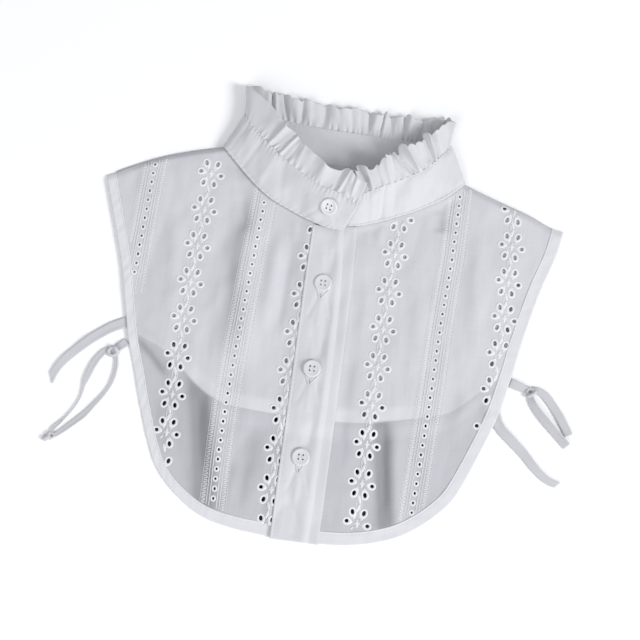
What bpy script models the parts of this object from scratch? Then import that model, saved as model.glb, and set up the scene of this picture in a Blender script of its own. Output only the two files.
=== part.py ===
"""Detachable blouse collar with a frilled stand band, laid flat on a table.

A short half-blouse: two eyelet fronts over a shorter back, a button placket
down the middle, a stand band that leans back with a gathered frill on its top
edge, bound armholes and hem, and a pair of ties at each side.

Sizes and tables are in millimetres and are scaled to metres at the end.  +X is
the viewer's right, +Y runs up the garment to the neck, +Z is up off the table.
The origin is on the table, under the middle of the shoulder line.
"""
import math

import bmesh
import bpy
import numpy as np
from mathutils import Matrix, Vector
from mathutils.geometry import delaunay_2d_cdt

MM = 0.001
SEAM = 0.3

# Cloth thicknesses
CLOTH = 1.0
BINDING = 1.5
UNDER_PLACKET = 1.3
TOP_PLACKET = 1.4
BAND = 2.0
FRILL = 1.0
TAPE = 1.0

# Widths and insets from the outline
BINDING_WIDTH = 8.6
BACK_INSET = 2.5
SHOULDER_ROLL = 5.0
BACK_SHOULDER_INSET = 4.6

# How far the front stands off the table
OVER_BACK = BINDING + 0.15
HEM_DROP = 12.0
NECK_RISE = 2.6
NECK_REACH = 22.0
BILLOW = 2.2
BILLOW_REACH = 30.0
TUCKED_TIE_LIFT = 1.6
TUCKED_TIE_REACH = 9.0

# Mesh steps
PANEL_STEP = 11.0
EDGE_STEP = 9.0
TAPE_STEP = 5.0
PLACKET_ROWS = 24
ROLL_ROWS = (1.8, 3.6, 6.0)

# Outline of the front, from each shoulder tip round to the middle of the hem
LEFT_EDGE = [
    (-168, 1.5), (-157, -31), (-146.3, -63.5), (-139, -93), (-132.5, -118.7),
    (-124.5, -142), (-118, -162), (-106.3, -192.6), (-96, -210.5), (-79, -226),
    (-62, -236), (-40, -241.3), (0, -245)]
RIGHT_EDGE = [
    (169, 1.5), (165, -18.6), (156, -47), (147.2, -83.5), (142, -110.6),
    (135, -140.5), (125.7, -166.7), (113.5, -196), (104, -210), (88, -224.5),
    (68.6, -235.5), (39, -243), (0, -245)]

# Shoulder lines, from the neck corner out to the tip
LEFT_SHOULDER = [(-86, 34), (-108.5, 28), (-131, 20.3), (-153.4, 9.7), (-168, 1.5)]
RIGHT_SHOULDER = [(94, 28), (117.7, 19.4), (142, 11.2), (158, 4), (169, 1.5)]

# Lower edge of the shorter back, seen through the front
BACK_HEM = [
    (-131, -112), (-118, -117.5), (-106, -123), (-93.4, -132.5), (-78.3, -145.8),
    (-65, -153), (-48, -156.7), (0, -158.7), (39, -157), (60, -153), (77, -148.8),
    (95, -144), (106, -138), (122, -123), (137, -110)]

# Stand band and frill, one row for each section round the neck, from the
# overlapping end at the front, round the viewer's left, the back and the right.
# seam is the neck seam, top is the band's upper edge, edge is the frill's edge.
COLLAR_SECTIONS = [
    # seam x, y, z        top x, y, z           edge x, y, z
    ((10.1, -20.0, 9.8), (18.6, -4.0, 23.0), (23.5, 11.0, 29.0)),
    ((-1.2, -19.5, 9.6), (5.0, 3.8, 23.2), (10.3, 18.3, 29.5)),
    ((-10.4, -16.9, 8.8), (-2.5, 5.6, 22.6), (2.1, 20.6, 29.0)),
    ((-21.2, -13.0, 7.2), (-10.8, 8.0, 21.3), (-5.7, 22.0, 28.0)),
    ((-32.2, -8.4, 6.8), (-21.8, 14.4, 19.8), (-15.1, 27.4, 26.5)),
    ((-45.0, -2.6, 6.7), (-34.6, 23.0, 18.2), (-25.3, 36.2, 25.0)),
    ((-56.7, 5.6, 6.7), (-46.4, 32.0, 16.6), (-34.6, 45.4, 23.0)),
    ((-67.3, 14.9, 6.7), (-56.5, 41.0, 15.0), (-45.6, 56.4, 20.5)),
    ((-76.8, 24.1, 6.7), (-65.0, 49.6, 13.0), (-57.0, 67.5, 17.0)),
    ((-82.6, 30.0, 6.6), (-70.2, 55.6, 10.8), (-68.0, 75.6, 13.5)),
    ((-85.2, 33.4, 4.4), (-72.6, 59.6, 7.0), (-74.6, 79.6, 8.8)),
    ((-82.0, 33.6, 2.5), (-68.8, 61.0, 3.4), (-72.0, 81.8, 4.4)),
    ((-72.0, 32.6, 2.3), (-60.0, 61.2, 2.4), (-62.0, 81.4, 3.6)),
    ((-48.0, 30.8, 2.3), (-42.1, 60.0, 2.1), (-44.1, 79.2, 3.4)),
    ((-13.6, 28.6, 2.3), (-17.2, 57.8, 2.0), (-19.6, 76.2, 3.3)),
    ((5.3, 27.9, 2.3), (1.5, 57.2, 2.0), (-0.7, 75.2, 3.3)),
    ((25.4, 27.2, 2.3), (21.7, 56.8, 2.0), (21.8, 74.2, 3.3)),
    ((48.0, 26.8, 2.3), (40.5, 55.9, 2.1), (40.7, 73.2, 3.4)),
    ((74.0, 26.9, 2.3), (62.0, 55.3, 2.4), (62.0, 74.2, 3.6)),
    ((88.5, 28.0, 2.5), (75.0, 56.2, 3.4), (77.0, 76.4, 4.4)),
    ((93.4, 27.2, 4.4), (79.6, 55.0, 7.0), (84.2, 73.0, 8.8)),
    ((91.0, 23.6, 6.6), (78.2, 50.6, 10.6), (77.5, 69.5, 13.5)),
    ((85.6, 18.6, 6.7), (74.2, 45.0, 13.0), (67.5, 62.0, 17.5)),
    ((78.9, 12.9, 6.7), (68.9, 37.9, 15.0), (59.5, 52.8, 20.5)),
    ((68.6, 6.6, 6.7), (62.3, 31.0, 16.6), (50.4, 45.8, 22.5)),
    ((57.7, 0.6, 6.7), (52.3, 24.2, 17.8), (40.6, 38.4, 24.0)),
    ((46.6, -4.6, 6.7), (44.0, 19.0, 18.8), (33.4, 33.6, 25.0)),
    ((38.3, -8.2, 6.7), (35.0, 14.4, 19.5), (27.0, 28.4, 25.5)),
    ((28.5, -12.0, 6.9), (25.5, 8.8, 20.0), (18.8, 23.4, 26.0)),
    ((17.0, -15.0, 7.2), (14.7, 4.6, 20.6), (9.6, 20.4, 26.2)),
    ((-6.0, -16.4, 7.3), (-6.0, 3.2, 20.8), (-9.0, 18.6, 25.8)),
]
BACK_NECK_SECTIONS = (11.4, 18.6)
FRILL_FIRST_SECTION = 1.0
FRILL_LAST_SECTION = 29.0
BAND_COLUMNS = 66
FRILL_WAVES = 35
FRILL_COLUMNS_PER_WAVE = 6
FRILL_ROOT_DEPTH = 0.4
FRILL_EDGE_DEPTH = 2.3
FRILL_FLAT_END = 10.0
FRILL_SEAM = 0.6
FRILL_ROWS = (0.0, 0.4, 1.0)
FRILL_OPENING_POWER = 0.7
# Slow drifts that keep the waves uneven: waves round the collar, and their share
FRILL_WAVE_DRIFT = ((9, 0.35), (31, 0.22))
FRILL_DEPTH_DRIFT = (23, 0.18)

# Folds of the front: a start and an end, a half width, and the share of the
# billow that each adds, or takes away where it is a trough
FRONT_FOLDS = [
    # x0, y0, x1, y1, half width, share
    (-76.6, -147, -66, -222, 7.0, -0.85),
    (-88.0, -150, -80, -214, 8.0, 0.55),
    (55.4, -150, 60.6, -228, 6.0, -0.80),
    (-66.0, 0, -60.5, -30, 5.5, -0.80),
    (-36.0, -24, -38.8, -100, 7.0, 0.90),
    (-29.5, -38, -28.5, -105, 4.5, -0.60),
    (78.0, 2, 80.0, -12, 6.0, -0.90),
    (108.5, -8, 112.1, -80, 8.0, 0.60),
    (-124.0, -14, -121.8, -88, 8.0, -0.60),
    (-112.0, -20, -108.0, -90, 8.0, 0.55),
    (67.0, -30, 66.0, -130, 9.0, 0.50),
    (24.0, -40, 28.0, -200, 5.0, -0.50),
    (102.0, -100, 98.0, -190, 8.0, -0.50),
    (-118.0, -112, -78.0, -145, 7.0, 0.45),
]

# Plackets: left and right edges as (x, y) from the neck to the hem
TOP_PLACKET_LEFT = [(-12.4, -17.4), (-13.1, -60), (-13.0, -133), (-13.4, -245)]
TOP_PLACKET_RIGHT = [(10.4, -18.8), (13.6, -60), (14.9, -129), (14.0, -245)]
UNDER_PLACKET_LEFT = [(-7, -15.6), (-7, -60), (-7, -136), (-7, -245)]
UNDER_PLACKET_RIGHT = [(19.6, -14.8), (21.2, -60), (21.5, -136), (20.8, -245)]
LEFT_FRONT_END = [(-8, -10), (-8, -250)]

# Eyelet flowers: the column's top and bottom flower and how many it has
FLOWER_COLUMNS = [
    # x top, y top, x bottom, y bottom, flowers, bend to the right
    (-91.8, 11.4, -94.6, -208.0, 9, -2.0),
    (-9.6, -14.6, -16.3, -211.3, 8, -1.0),
    (50.0, -4.0, 45.6, -226.8, 9, -1.6),
    (131.6, 11.6, 126.6, -175.5, 8, 3.0),
]
PETALS = [
    # across, up, half width, half length, lean in degrees
    (-4.0, 7.7, 1.55, 2.1, 14),
    (4.1, 7.5, 1.55, 2.1, -14),
    (-7.3, 1.0, 1.65, 1.55, 0),
    (7.5, -1.0, 1.65, 1.55, 0),
    (-4.5, -7.2, 1.55, 2.1, -16),
    (3.3, -7.9, 1.55, 2.1, 12),
]
PETAL_SIDES = 6
EYELET_MARGIN = 1.2

# Buttons
BUTTON_RADIUS = 6.4
BUTTON_THICKNESS = 2.2
BUTTON_RIM = 1.3
BUTTON_WELL = 0.6
BUTTON_HOLE_RADIUS = 0.85
BUTTON_HOLE_OFFSET = 1.55
BUTTON_SPOTS = [(0.4, -60.3), (0.7, -123.4), (1.0, -186.5)]
COLLAR_BUTTON_SECTION = 1.45
COLLAR_BUTTON_HEIGHT = 0.55

# Ties: centre line, width at the root and at the end, and height off the table
TIES = {
    "back_tie_left": ([
        (-135.4, -104.9), (-141, -108), (-148, -112), (-158.3, -120), (-168.2, -129.6),
        (-175.9, -138.2), (-181.1, -147), (-183.8, -154)], 7.6, 6.0),
    "front_tie_left_outer": ([
        (-148.4, -127.4), (-154.1, -136.8), (-157.5, -146.9), (-159.3, -154.6),
        (-160.4, -163.5), (-164.0, -172.4), (-170.4, -181.6), (-176.0, -188.4),
        (-177.6, -191.2)], 4.2, 3.2),
    "front_tie_left_inner": ([
        (-140.4, -131.6), (-138.8, -140.0), (-140.1, -149.9), (-144.4, -159.3),
        (-150.2, -168.2), (-155.6, -175.4), (-162.5, -182.4), (-169.0, -188.8),
        (-174.4, -193.4)], 4.2, 3.6),
    "front_tie_right_outer": ([
        (162.2, -116.8), (166.5, -119.0), (171.4, -124.4), (178.2, -133.1),
        (183.2, -140.8), (186.6, -146.6)], 6.0, 6.0),
    "front_tie_right_inner": ([
        (157.2, -125.0), (160.4, -129.4), (165.9, -135.6), (173.9, -143.4),
        (180.6, -149.6), (185.8, -154.6)], 5.6, 5.2),
    "back_tie_right": ([
        (131.2, -117.8), (132.6, -122.4), (132.8, -131.0), (134.0, -140.0),
        (138.6, -148.2), (146.4, -155.0), (155.7, -163.1), (164.5, -172.1), (171.6, -178.2),
        (177.6, -181.2), (183.4, -182.6)], 7.6, 6.0),
}
TIE_TABS = {
    "front_tab_left": ([(-133.7, -119.8), (-136.7, -122.7), (-140.2, -125.8)], 6.4, 5.0),
    "front_tab_right": ([(141.8, -114.0), (147.6, -115.9), (153.3, -117.6)], 7.2, 5.6),
}
TIE_KNOTS = {
    # x, y, length, width, height, turn in degrees
    "tie_knot_left": (-143.2, -128.2, 9.0, 7.6, 5.0, -45),
    "tie_knot_right": (157.2, -118.8, 9.0, 8.0, 5.0, -20),
    "tie_end_knot_left": (-179.6, -195.0, 9.0, 5.0, 3.6, -140),
}
TIE_REST = 0.1

# Colours of the cloth and the buttons
WHITE_COTTON = (0.86, 0.86, 0.88, 1.0)
FINE_COTTON = (0.80, 0.80, 0.83, 1.0)
BUTTON_WHITE = (0.82, 0.82, 0.84, 1.0)


def smooth_path(points, per_span=8):
    """Points on a Catmull-Rom curve through the given ones."""
    given = np.array(points, dtype=float)
    padded = np.vstack([2 * given[0] - given[1], given, 2 * given[-1] - given[-2]])
    curve = []
    for i in range(1, len(padded) - 2):
        a, b, c, d = padded[i - 1:i + 3]
        for t in np.arange(per_span) / per_span:
            curve.append(0.5 * (2 * b + (c - a) * t + (2 * a - 5 * b + 4 * c - d) * t ** 2
                                + (3 * b - a - 3 * c + d) * t ** 3))
    curve.append(given[-1])
    return np.array(curve)


def at_sections(table, places):
    """Rows of a table read at fractional row numbers, along a smooth curve."""
    given = np.array(table, dtype=float)
    padded = np.vstack([2 * given[0] - given[1], given, 2 * given[-1] - given[-2]])
    span = np.clip(np.floor(places).astype(int), 0, len(given) - 2)
    t = (np.asarray(places) - span)[:, None]
    a, b, c, d = (padded[span + k] for k in range(4))
    return 0.5 * (2 * b + (c - a) * t + (2 * a - 5 * b + 4 * c - d) * t ** 2
                  + (3 * b - a - 3 * c + d) * t ** 3)


def run_of(path):
    """Distance along a path at each of its points."""
    steps = np.linalg.norm(np.diff(path, axis=0), axis=1)
    return np.concatenate([[0.0], np.cumsum(steps)])


def evenly(path, step):
    """The same path with points about one step apart."""
    run = run_of(path)
    count = max(1, round(run[-1] / step))
    wanted = np.linspace(0, run[-1], count + 1)
    return np.column_stack([np.interp(wanted, run, path[:, k]) for k in range(path.shape[1])])


def rolled_then_even(path, step):
    """Points close together where a path leaves the shoulder, then evenly spaced."""
    run = run_of(path)
    rest = np.linspace(SHOULDER_ROLL + 2, run[-1], max(2, round(run[-1] / step)))
    wanted = np.concatenate([[0.0], ROLL_ROWS, rest])
    return np.column_stack([np.interp(wanted, run, path[:, k]) for k in range(path.shape[1])])


def shifted(path, distance):
    """A flat path moved sideways, to its left where the distance is positive."""
    along = np.gradient(path, axis=0)
    along /= np.linalg.norm(along, axis=1)[:, None]
    return path + distance * np.column_stack([-along[:, 1], along[:, 0]])


def up_to_line(path, line, side):
    """A path as far as it crosses an upright line, from the garment's outer side."""
    order = np.argsort(line[:, 1])
    gap = (path[:, 0] - np.interp(path[:, 1], line[order, 1], line[order, 0])) * side
    first = int(np.argmax(gap > 0))
    share = gap[first - 1] / (gap[first - 1] - gap[first])
    crossing = path[first - 1] + (path[first] - path[first - 1]) * share
    return np.vstack([path[:first], crossing])


def clear_of(path, line, room):
    """The part of a path that stays at least this far from a line."""
    return path[distance_to(line, path) >= room]


def closed_ring(outline):
    return np.vstack([outline, outline[:1]])


def distance_to(path, points):
    """Shortest distance from each flat point to a path."""
    a, b = path[:-1], path[1:]
    ab = b - a
    ap = points[:, None, :] - a[None, :, :]
    t = np.clip((ap * ab).sum(2) / np.maximum((ab * ab).sum(1), 1e-9), 0, 1)
    return np.linalg.norm(ap - t[:, :, None] * ab, axis=2).min(1)


def inside(polygon, points):
    """Which flat points lie inside a closed polygon."""
    x, y = points[:, 0], points[:, 1]
    result = np.zeros(len(points), dtype=bool)
    for (x0, y0), (x1, y1) in zip(polygon, np.roll(polygon, -1, axis=0)):
        if y0 == y1:
            continue
        crosses = (y0 > y) != (y1 > y)
        result ^= crosses & (x < x0 + (y - y0) * (x1 - x0) / (y1 - y0))
    return result


def eased(t):
    """A smooth step from 0 to 1."""
    t = np.clip(t, 0, 1)
    return t * t * (3 - 2 * t)


left_edge = smooth_path(LEFT_EDGE)
right_edge = smooth_path(RIGHT_EDGE)
left_shoulder = smooth_path(LEFT_SHOULDER)
right_shoulder = smooth_path(RIGHT_SHOULDER)
back_hem = smooth_path(BACK_HEM)
front_outline = np.vstack([left_edge, right_edge[-2::-1]])
shoulders = (left_shoulder, right_shoulder)

seam_table = [row[0] for row in COLLAR_SECTIONS]
front_left_seam = at_sections(seam_table, np.linspace(0, 9.6, 60))[:, :2]
front_right_seam = at_sections(seam_table, np.linspace(20.4, 30, 60))[:, :2]
tucked_tie = np.array(TIES["back_tie_right"][0][:4], dtype=float)


def back_hem_height(x):
    return np.interp(x, back_hem[:, 0], back_hem[:, 1])


def lift(points):
    """Height of the underside of the front cloth above the table."""
    over_back = eased((points[:, 1] - back_hem_height(points[:, 0]) + HEM_DROP + 2) / HEM_DROP)
    base = OVER_BACK * over_back
    tucked = TUCKED_TIE_LIFT * np.exp(-(distance_to(tucked_tie, points) / TUCKED_TIE_REACH) ** 4)
    base = np.maximum(base, tucked)
    to_neck = np.minimum(distance_to(front_left_seam, points),
                         distance_to(front_right_seam, points))
    to_edge = distance_to(front_outline, points)
    to_shoulder = np.minimum(*(distance_to(line, points) for line in shoulders))
    share = np.ones(len(points))
    for x0, y0, x1, y1, half_width, amount in FRONT_FOLDS:
        line = smooth_path([(x0, y0), (x1, y1)], 2)
        share += amount * np.exp(-(distance_to(line, points) / half_width) ** 2)
    calm = eased((to_edge - BINDING_WIDTH) / BILLOW_REACH) * eased(to_neck / BILLOW_REACH)
    billow = BILLOW * calm * np.clip(share, 0.1, 2.0)
    neck = NECK_RISE * np.exp(-(to_neck / NECK_REACH) ** 2)
    return (base + billow + neck) * eased(to_shoulder / SHOULDER_ROLL)


def cloth_material(name, colour, roughness):
    material = bpy.data.materials.new(name)
    material.use_nodes = True
    shader = material.node_tree.nodes["Principled BSDF"]
    shader.inputs["Base Color"].default_value = colour
    shader.inputs["Roughness"].default_value = roughness
    shader.inputs["Metallic"].default_value = 0.0
    return material


def new_object(name, mesh, colour, roughness=0.9):
    mesh.materials.append(cloth_material(name, colour, roughness))
    item = bpy.data.objects.new(name, mesh)
    collection.objects.link(item)
    return item


def thicken(item, thickness, offset):
    """Turn an open surface into a wall."""
    wall = item.modifiers.new("wall", "SOLIDIFY")
    wall.thickness = thickness * MM
    wall.offset = offset
    return item


def panel(name, outline, holes, under, thickness, colour, extra_points=()):
    """A flat-cut panel with holes, raised onto a height function, as a wall."""
    rings = [outline] + list(holes)
    low, high = outline.min(0), outline.max(0)
    columns = np.arange(low[0] + PANEL_STEP / 2, high[0], PANEL_STEP)
    rows = np.arange(low[1] + PANEL_STEP / 2, high[1], PANEL_STEP * 0.87)
    grid = np.array([(x + (PANEL_STEP / 2 if j % 2 else 0), y)
                     for j, y in enumerate(rows) for x in columns])
    grid = grid[inside(outline, grid)]
    grid = grid[distance_to(closed_ring(outline), grid) > PANEL_STEP * 0.45]
    for hole in holes:
        grid = grid[np.linalg.norm(grid - hole.mean(0), axis=1) > PANEL_STEP * 0.4]
    if len(extra_points):
        grid = grid[np.min(np.linalg.norm(
            grid[:, None, :] - extra_points[None, :, :], axis=2), axis=1) > PANEL_STEP * 0.4]
        grid = np.vstack([grid, extra_points])
    points, edges = [], []
    for ring in rings:
        start = len(points)
        points += [tuple(p) for p in ring]
        edges += [(start + i, start + (i + 1) % len(ring)) for i in range(len(ring))]
    points += [tuple(p) for p in grid]
    flat, _, faces, _, _, _ = delaunay_2d_cdt([Vector(p) for p in points], edges, [], 0, 1e-5)
    flat = np.array([tuple(v) for v in flat])
    faces = np.array(faces)
    middles = flat[faces].mean(1)
    keep = inside(outline, middles)
    for hole in holes:
        keep &= ~inside(hole, middles)
    faces = faces[keep]
    heights = under(flat)
    mesh = bpy.data.meshes.new(name)
    mesh.from_pydata([(x * MM, y * MM, z * MM) for (x, y), z in zip(flat, heights)],
                     [], faces.tolist())
    drop_loose_points(mesh)
    return thicken(new_object(name, mesh, colour), thickness, 1)


def drop_loose_points(mesh):
    shape = bmesh.new()
    shape.from_mesh(mesh)
    bmesh.ops.delete(shape, geom=[v for v in shape.verts if not v.link_faces], context="VERTS")
    bmesh.ops.recalc_face_normals(shape, faces=shape.faces)
    if sum(face.normal.z for face in shape.faces) < 0:
        bmesh.ops.reverse_faces(shape, faces=shape.faces)
    shape.to_mesh(mesh)
    shape.free()


def strip(name, rows, thickness, offset, colour, roughness=0.9):
    """A strip of cloth through rows of points, the first row at one side."""
    rows = np.asarray(rows)
    across, along = rows.shape[0] - 1, rows.shape[1] - 1
    shape = bmesh.new()
    bmesh.ops.create_grid(shape, x_segments=along, y_segments=across, size=0.5)
    for vertex in shape.verts:
        i = round((vertex.co.x + 0.5) * along)
        j = round((vertex.co.y + 0.5) * across)
        vertex.co = Vector(rows[j, i]) * MM
    mesh = bpy.data.meshes.new(name)
    shape.to_mesh(mesh)
    shape.free()
    mesh.shade_smooth()
    return thicken(new_object(name, mesh, colour, roughness), thickness, offset)


def lying_strip(name, left, right, under, thickness, colour, segments=2):
    """A strip between two flat paths of equal length, laid on a height function."""
    rows = []
    for share in np.linspace(0, 1, segments + 1):
        flat = left * (1 - share) + right * share
        rows.append(np.column_stack([flat, under(flat)]))
    return strip(name, rows, thickness, 1, colour)


def petal_ring(x, y, half_width, half_length, lean):
    turn = math.radians(lean)
    ring = []
    for k in range(PETAL_SIDES):
        angle = 2 * math.pi * (k + 0.5) / PETAL_SIDES
        across, up = half_width * math.sin(angle), half_length * math.cos(angle)
        ring.append((x + across * math.cos(turn) - up * math.sin(turn),
                     y + across * math.sin(turn) + up * math.cos(turn)))
    return np.array(ring)


def eyelets_in(outline):
    """The petal holes of every flower that lie wholly inside a panel."""
    closed = closed_ring(outline)
    holes = []
    for x_top, y_top, x_bottom, y_bottom, flowers, bend in FLOWER_COLUMNS:
        for share in np.linspace(0, 1, flowers):
            x = x_top + (x_bottom - x_top) * share + bend * math.sin(math.pi * share)
            y = y_top + (y_bottom - y_top) * share
            for across, up, half_width, half_length, lean in PETALS:
                centre = np.array([[x + across, y + up]])
                room = distance_to(closed, centre)[0]
                if inside(outline, centre)[0] and room > half_length + EYELET_MARGIN:
                    holes.append(petal_ring(*centre[0], half_width, half_length, lean))
    return holes


def roll_points(outline, shoulder, side):
    """Extra points beside a shoulder line, where the cloth rolls over."""
    rows = [evenly(shifted(shoulder, side * inset), EDGE_STEP) for inset in ROLL_ROWS]
    points = np.vstack(rows)
    points = points[inside(outline, points)]
    return clear_of(points, closed_ring(outline), ROLL_ROWS[0] * 0.7)


def make_front(name, edge, shoulder, seam, inner_line, side):
    """One front: shoulder, bound edge, inner edge at the placket, and neck.

    side is +1 for the viewer's left front and -1 for the right one.
    """
    bound = shifted(edge, side * (BINDING_WIDTH + SEAM))
    bound = rolled_then_even(up_to_line(bound, inner_line, side), EDGE_STEP)
    top = evenly(shoulder, EDGE_STEP)
    top = top[np.abs(top[:, 0]) < np.abs(bound[0, 0]) - 2]
    from_corner = seam[np.argsort(-np.abs(seam[:, 0]))]
    neck = evenly(up_to_line(from_corner, inner_line, side), EDGE_STEP)[::-1]
    inner = evenly(inner_line, EDGE_STEP)[::-1]
    inner = inner[(inner[:, 1] > bound[-1, 1] + 3) & (inner[:, 1] < neck[0, 1] - 3)]
    outline = np.vstack([top, bound, inner, neck])
    extras = roll_points(outline, shoulder, side)
    return panel(name, outline, eyelets_in(outline), lift, CLOTH, FINE_COTTON, extras)


def make_front_binding(name, edge, stop_line, side):
    """The folded strip that edges a front from the shoulder tip to the placket."""
    outer = rolled_then_even(up_to_line(edge, stop_line, side), EDGE_STEP * 0.9)
    inner = up_to_line(shifted(edge, side * BINDING_WIDTH), stop_line, side)
    run = run_of(inner)
    wanted = run_of(outer) * run[-1] / run_of(outer)[-1]
    inner = np.column_stack([np.interp(wanted, run, inner[:, k]) for k in (0, 1)])
    first, second = (outer, inner) if side > 0 else (inner, outer)
    return lying_strip(name, first, second, lift, BINDING, WHITE_COTTON)


def on_table(points):
    return np.zeros(len(points))


def back_outline():
    """Outer edge of the back, from the left shoulder round to the right one."""
    left = shifted(left_edge, BACK_INSET)
    right = shifted(right_edge, -BACK_INSET)
    left = clear_of(left[left[:, 1] > BACK_HEM[0][1] + 8], left_shoulder, BACK_SHOULDER_INSET)
    right = clear_of(right[right[:, 1] > BACK_HEM[-1][1] + 8], right_shoulder,
                     BACK_SHOULDER_INSET)
    corners = np.vstack([left, evenly(back_hem, EDGE_STEP)[1:-1], right[::-1]])
    return smooth_path(evenly(corners, EDGE_STEP), 3)


def make_back():
    """The shorter back, flat on the table, with its edge strip and neck edge."""
    edge = back_outline()
    inset = shifted(edge, BINDING_WIDTH + SEAM)
    inset = evenly(clear_of(clear_of(inset, left_shoulder, BACK_SHOULDER_INSET),
                            right_shoulder, BACK_SHOULDER_INSET), EDGE_STEP)
    left_top = evenly(shifted(left_shoulder, BACK_SHOULDER_INSET), EDGE_STEP)
    right_top = evenly(shifted(right_shoulder, -BACK_SHOULDER_INSET), EDGE_STEP)
    left_top = left_top[left_top[:, 0] > inset[0, 0] + 2]
    right_top = right_top[right_top[:, 0] < inset[-1, 0] - 2]
    neck = at_sections(seam_table, np.linspace(*BACK_NECK_SECTIONS, 20))[::-1, :2]
    outline = np.vstack([left_top, inset, right_top[::-1], neck])
    panel("back", outline, [], on_table, CLOTH, FINE_COTTON)
    outer = evenly(edge, EDGE_STEP * 0.9)
    lying_strip("back_binding", outer, shifted(outer, BINDING_WIDTH), on_table, BINDING,
                WHITE_COTTON)


def placket(name, left, right, extra_lift, thickness):
    """A straight folded strip down the front, on a height above the front's."""
    sides = []
    for edge in (left, right):
        path = smooth_path(edge)
        run = run_of(path)
        wanted = np.linspace(0, run[-1], PLACKET_ROWS)
        sides.append(np.column_stack([np.interp(wanted, run, path[:, k]) for k in (0, 1)]))

    def under(points):
        return lift(points) + extra_lift
    return lying_strip(name, sides[0], sides[1], under, thickness, WHITE_COTTON, 3)


def collar_lines(places):
    """Seam, upper edge and frill edge of the collar at fractional sections."""
    return [at_sections([row[k] for row in COLLAR_SECTIONS], places) for k in range(3)]


def make_band():
    """The stand band, a doubled strip that leans back and wraps round the neck."""
    seam, top, _ = collar_lines(np.linspace(0, len(COLLAR_SECTIONS) - 1, BAND_COLUMNS + 1))
    rows = [seam * (1 - t) + top * t for t in np.linspace(0, 1, 4)]
    return strip("neck_band", rows, BAND, 0, WHITE_COTTON)


def make_frill():
    """The gathered frill, whose waves open toward its free edge."""
    fine = np.linspace(FRILL_FIRST_SECTION, FRILL_LAST_SECTION, 600)
    _, top, _ = collar_lines(fine)
    run = run_of(top)
    columns = FRILL_WAVES * FRILL_COLUMNS_PER_WAVE
    wanted = np.linspace(0, run[-1], columns + 1)
    _, top, edge = collar_lines(np.interp(wanted, run, fine))
    outward = edge - top
    outward /= np.linalg.norm(outward, axis=1)[:, None]
    along = np.gradient(top + edge, axis=0)
    normal = np.cross(along, outward)
    normal /= np.linalg.norm(normal, axis=1)[:, None]
    share = np.linspace(0, 1, columns + 1)
    turns = FRILL_WAVES * share
    for drift, size in FRILL_WAVE_DRIFT:
        turns = turns + size * np.sin(drift * share)
    drift, size = FRILL_DEPTH_DRIFT
    uneven = 1 - size + size * np.sin(drift * share + 1)
    ends = eased(np.minimum(wanted, run[-1] - wanted) / FRILL_FLAT_END)
    wave = (np.sin(2 * math.pi * turns) * uneven * ends)[:, None]
    rows = []
    for t in FRILL_ROWS:
        opened = t ** FRILL_OPENING_POWER
        depth = FRILL_ROOT_DEPTH + (FRILL_EDGE_DEPTH - FRILL_ROOT_DEPTH) * opened
        base = top + outward * FRILL_SEAM
        rows.append(base * (1 - t) + edge * t + normal * wave * depth)
    return strip("collar_frill", rows, FRILL, 0, FINE_COTTON)


def button_mesh():
    """A turned disc with a raised rim, before its holes are cut."""
    profile = [
        (0, BUTTON_THICKNESS - BUTTON_WELL),
        (BUTTON_RADIUS - BUTTON_RIM - 0.8, BUTTON_THICKNESS - BUTTON_WELL),
        (BUTTON_RADIUS - BUTTON_RIM, BUTTON_THICKNESS),
        (BUTTON_RADIUS - 0.5, BUTTON_THICKNESS),
        (BUTTON_RADIUS, BUTTON_THICKNESS - 0.6),
        (BUTTON_RADIUS - 0.3, 0.3),
        (BUTTON_RADIUS - 1.2, 0),
        (0, 0)]
    mesh = bpy.data.meshes.new("button")
    mesh.from_pydata([(r * MM, 0, z * MM) for r, z in profile],
                     [(i, i + 1) for i in range(len(profile) - 1)], [])
    return mesh


def hole_cutter():
    """Four small pegs in one object, for the thread holes."""
    shape = bmesh.new()
    for across in (-1, 1):
        for up in (-1, 1):
            place = Matrix.Translation((across * BUTTON_HOLE_OFFSET * MM,
                                        up * BUTTON_HOLE_OFFSET * MM, BUTTON_THICKNESS / 2 * MM))
            bmesh.ops.create_cone(shape, cap_ends=True, segments=8, matrix=place,
                                  radius1=BUTTON_HOLE_RADIUS * MM,
                                  radius2=BUTTON_HOLE_RADIUS * MM,
                                  depth=(BUTTON_THICKNESS + 2) * MM)
    mesh = bpy.data.meshes.new("thread_holes")
    shape.to_mesh(mesh)
    shape.free()
    cutter = bpy.data.objects.new("thread_holes", mesh)
    cutters.objects.link(cutter)
    cutter.hide_render = True
    cutter.display_type = "WIRE"
    return cutter


def make_button(name, place, turn):
    """A button at a place in millimetres, turned by a matrix."""
    button = new_object(name, button_mesh(), BUTTON_WHITE, 0.35)
    button.matrix_world = Matrix.Translation(Vector(place) * MM) @ turn.to_4x4()
    turned = button.modifiers.new("turned", "SCREW")
    turned.angle = 2 * math.pi
    turned.steps = turned.render_steps = 24
    turned.use_merge_vertices = True
    turned.merge_threshold = 0.00001
    holes = button.modifiers.new("holes", "BOOLEAN")
    holes.operation = "DIFFERENCE"
    cutter = hole_cutter()
    cutter.matrix_world = button.matrix_world
    holes.object = cutter
    return button


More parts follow.
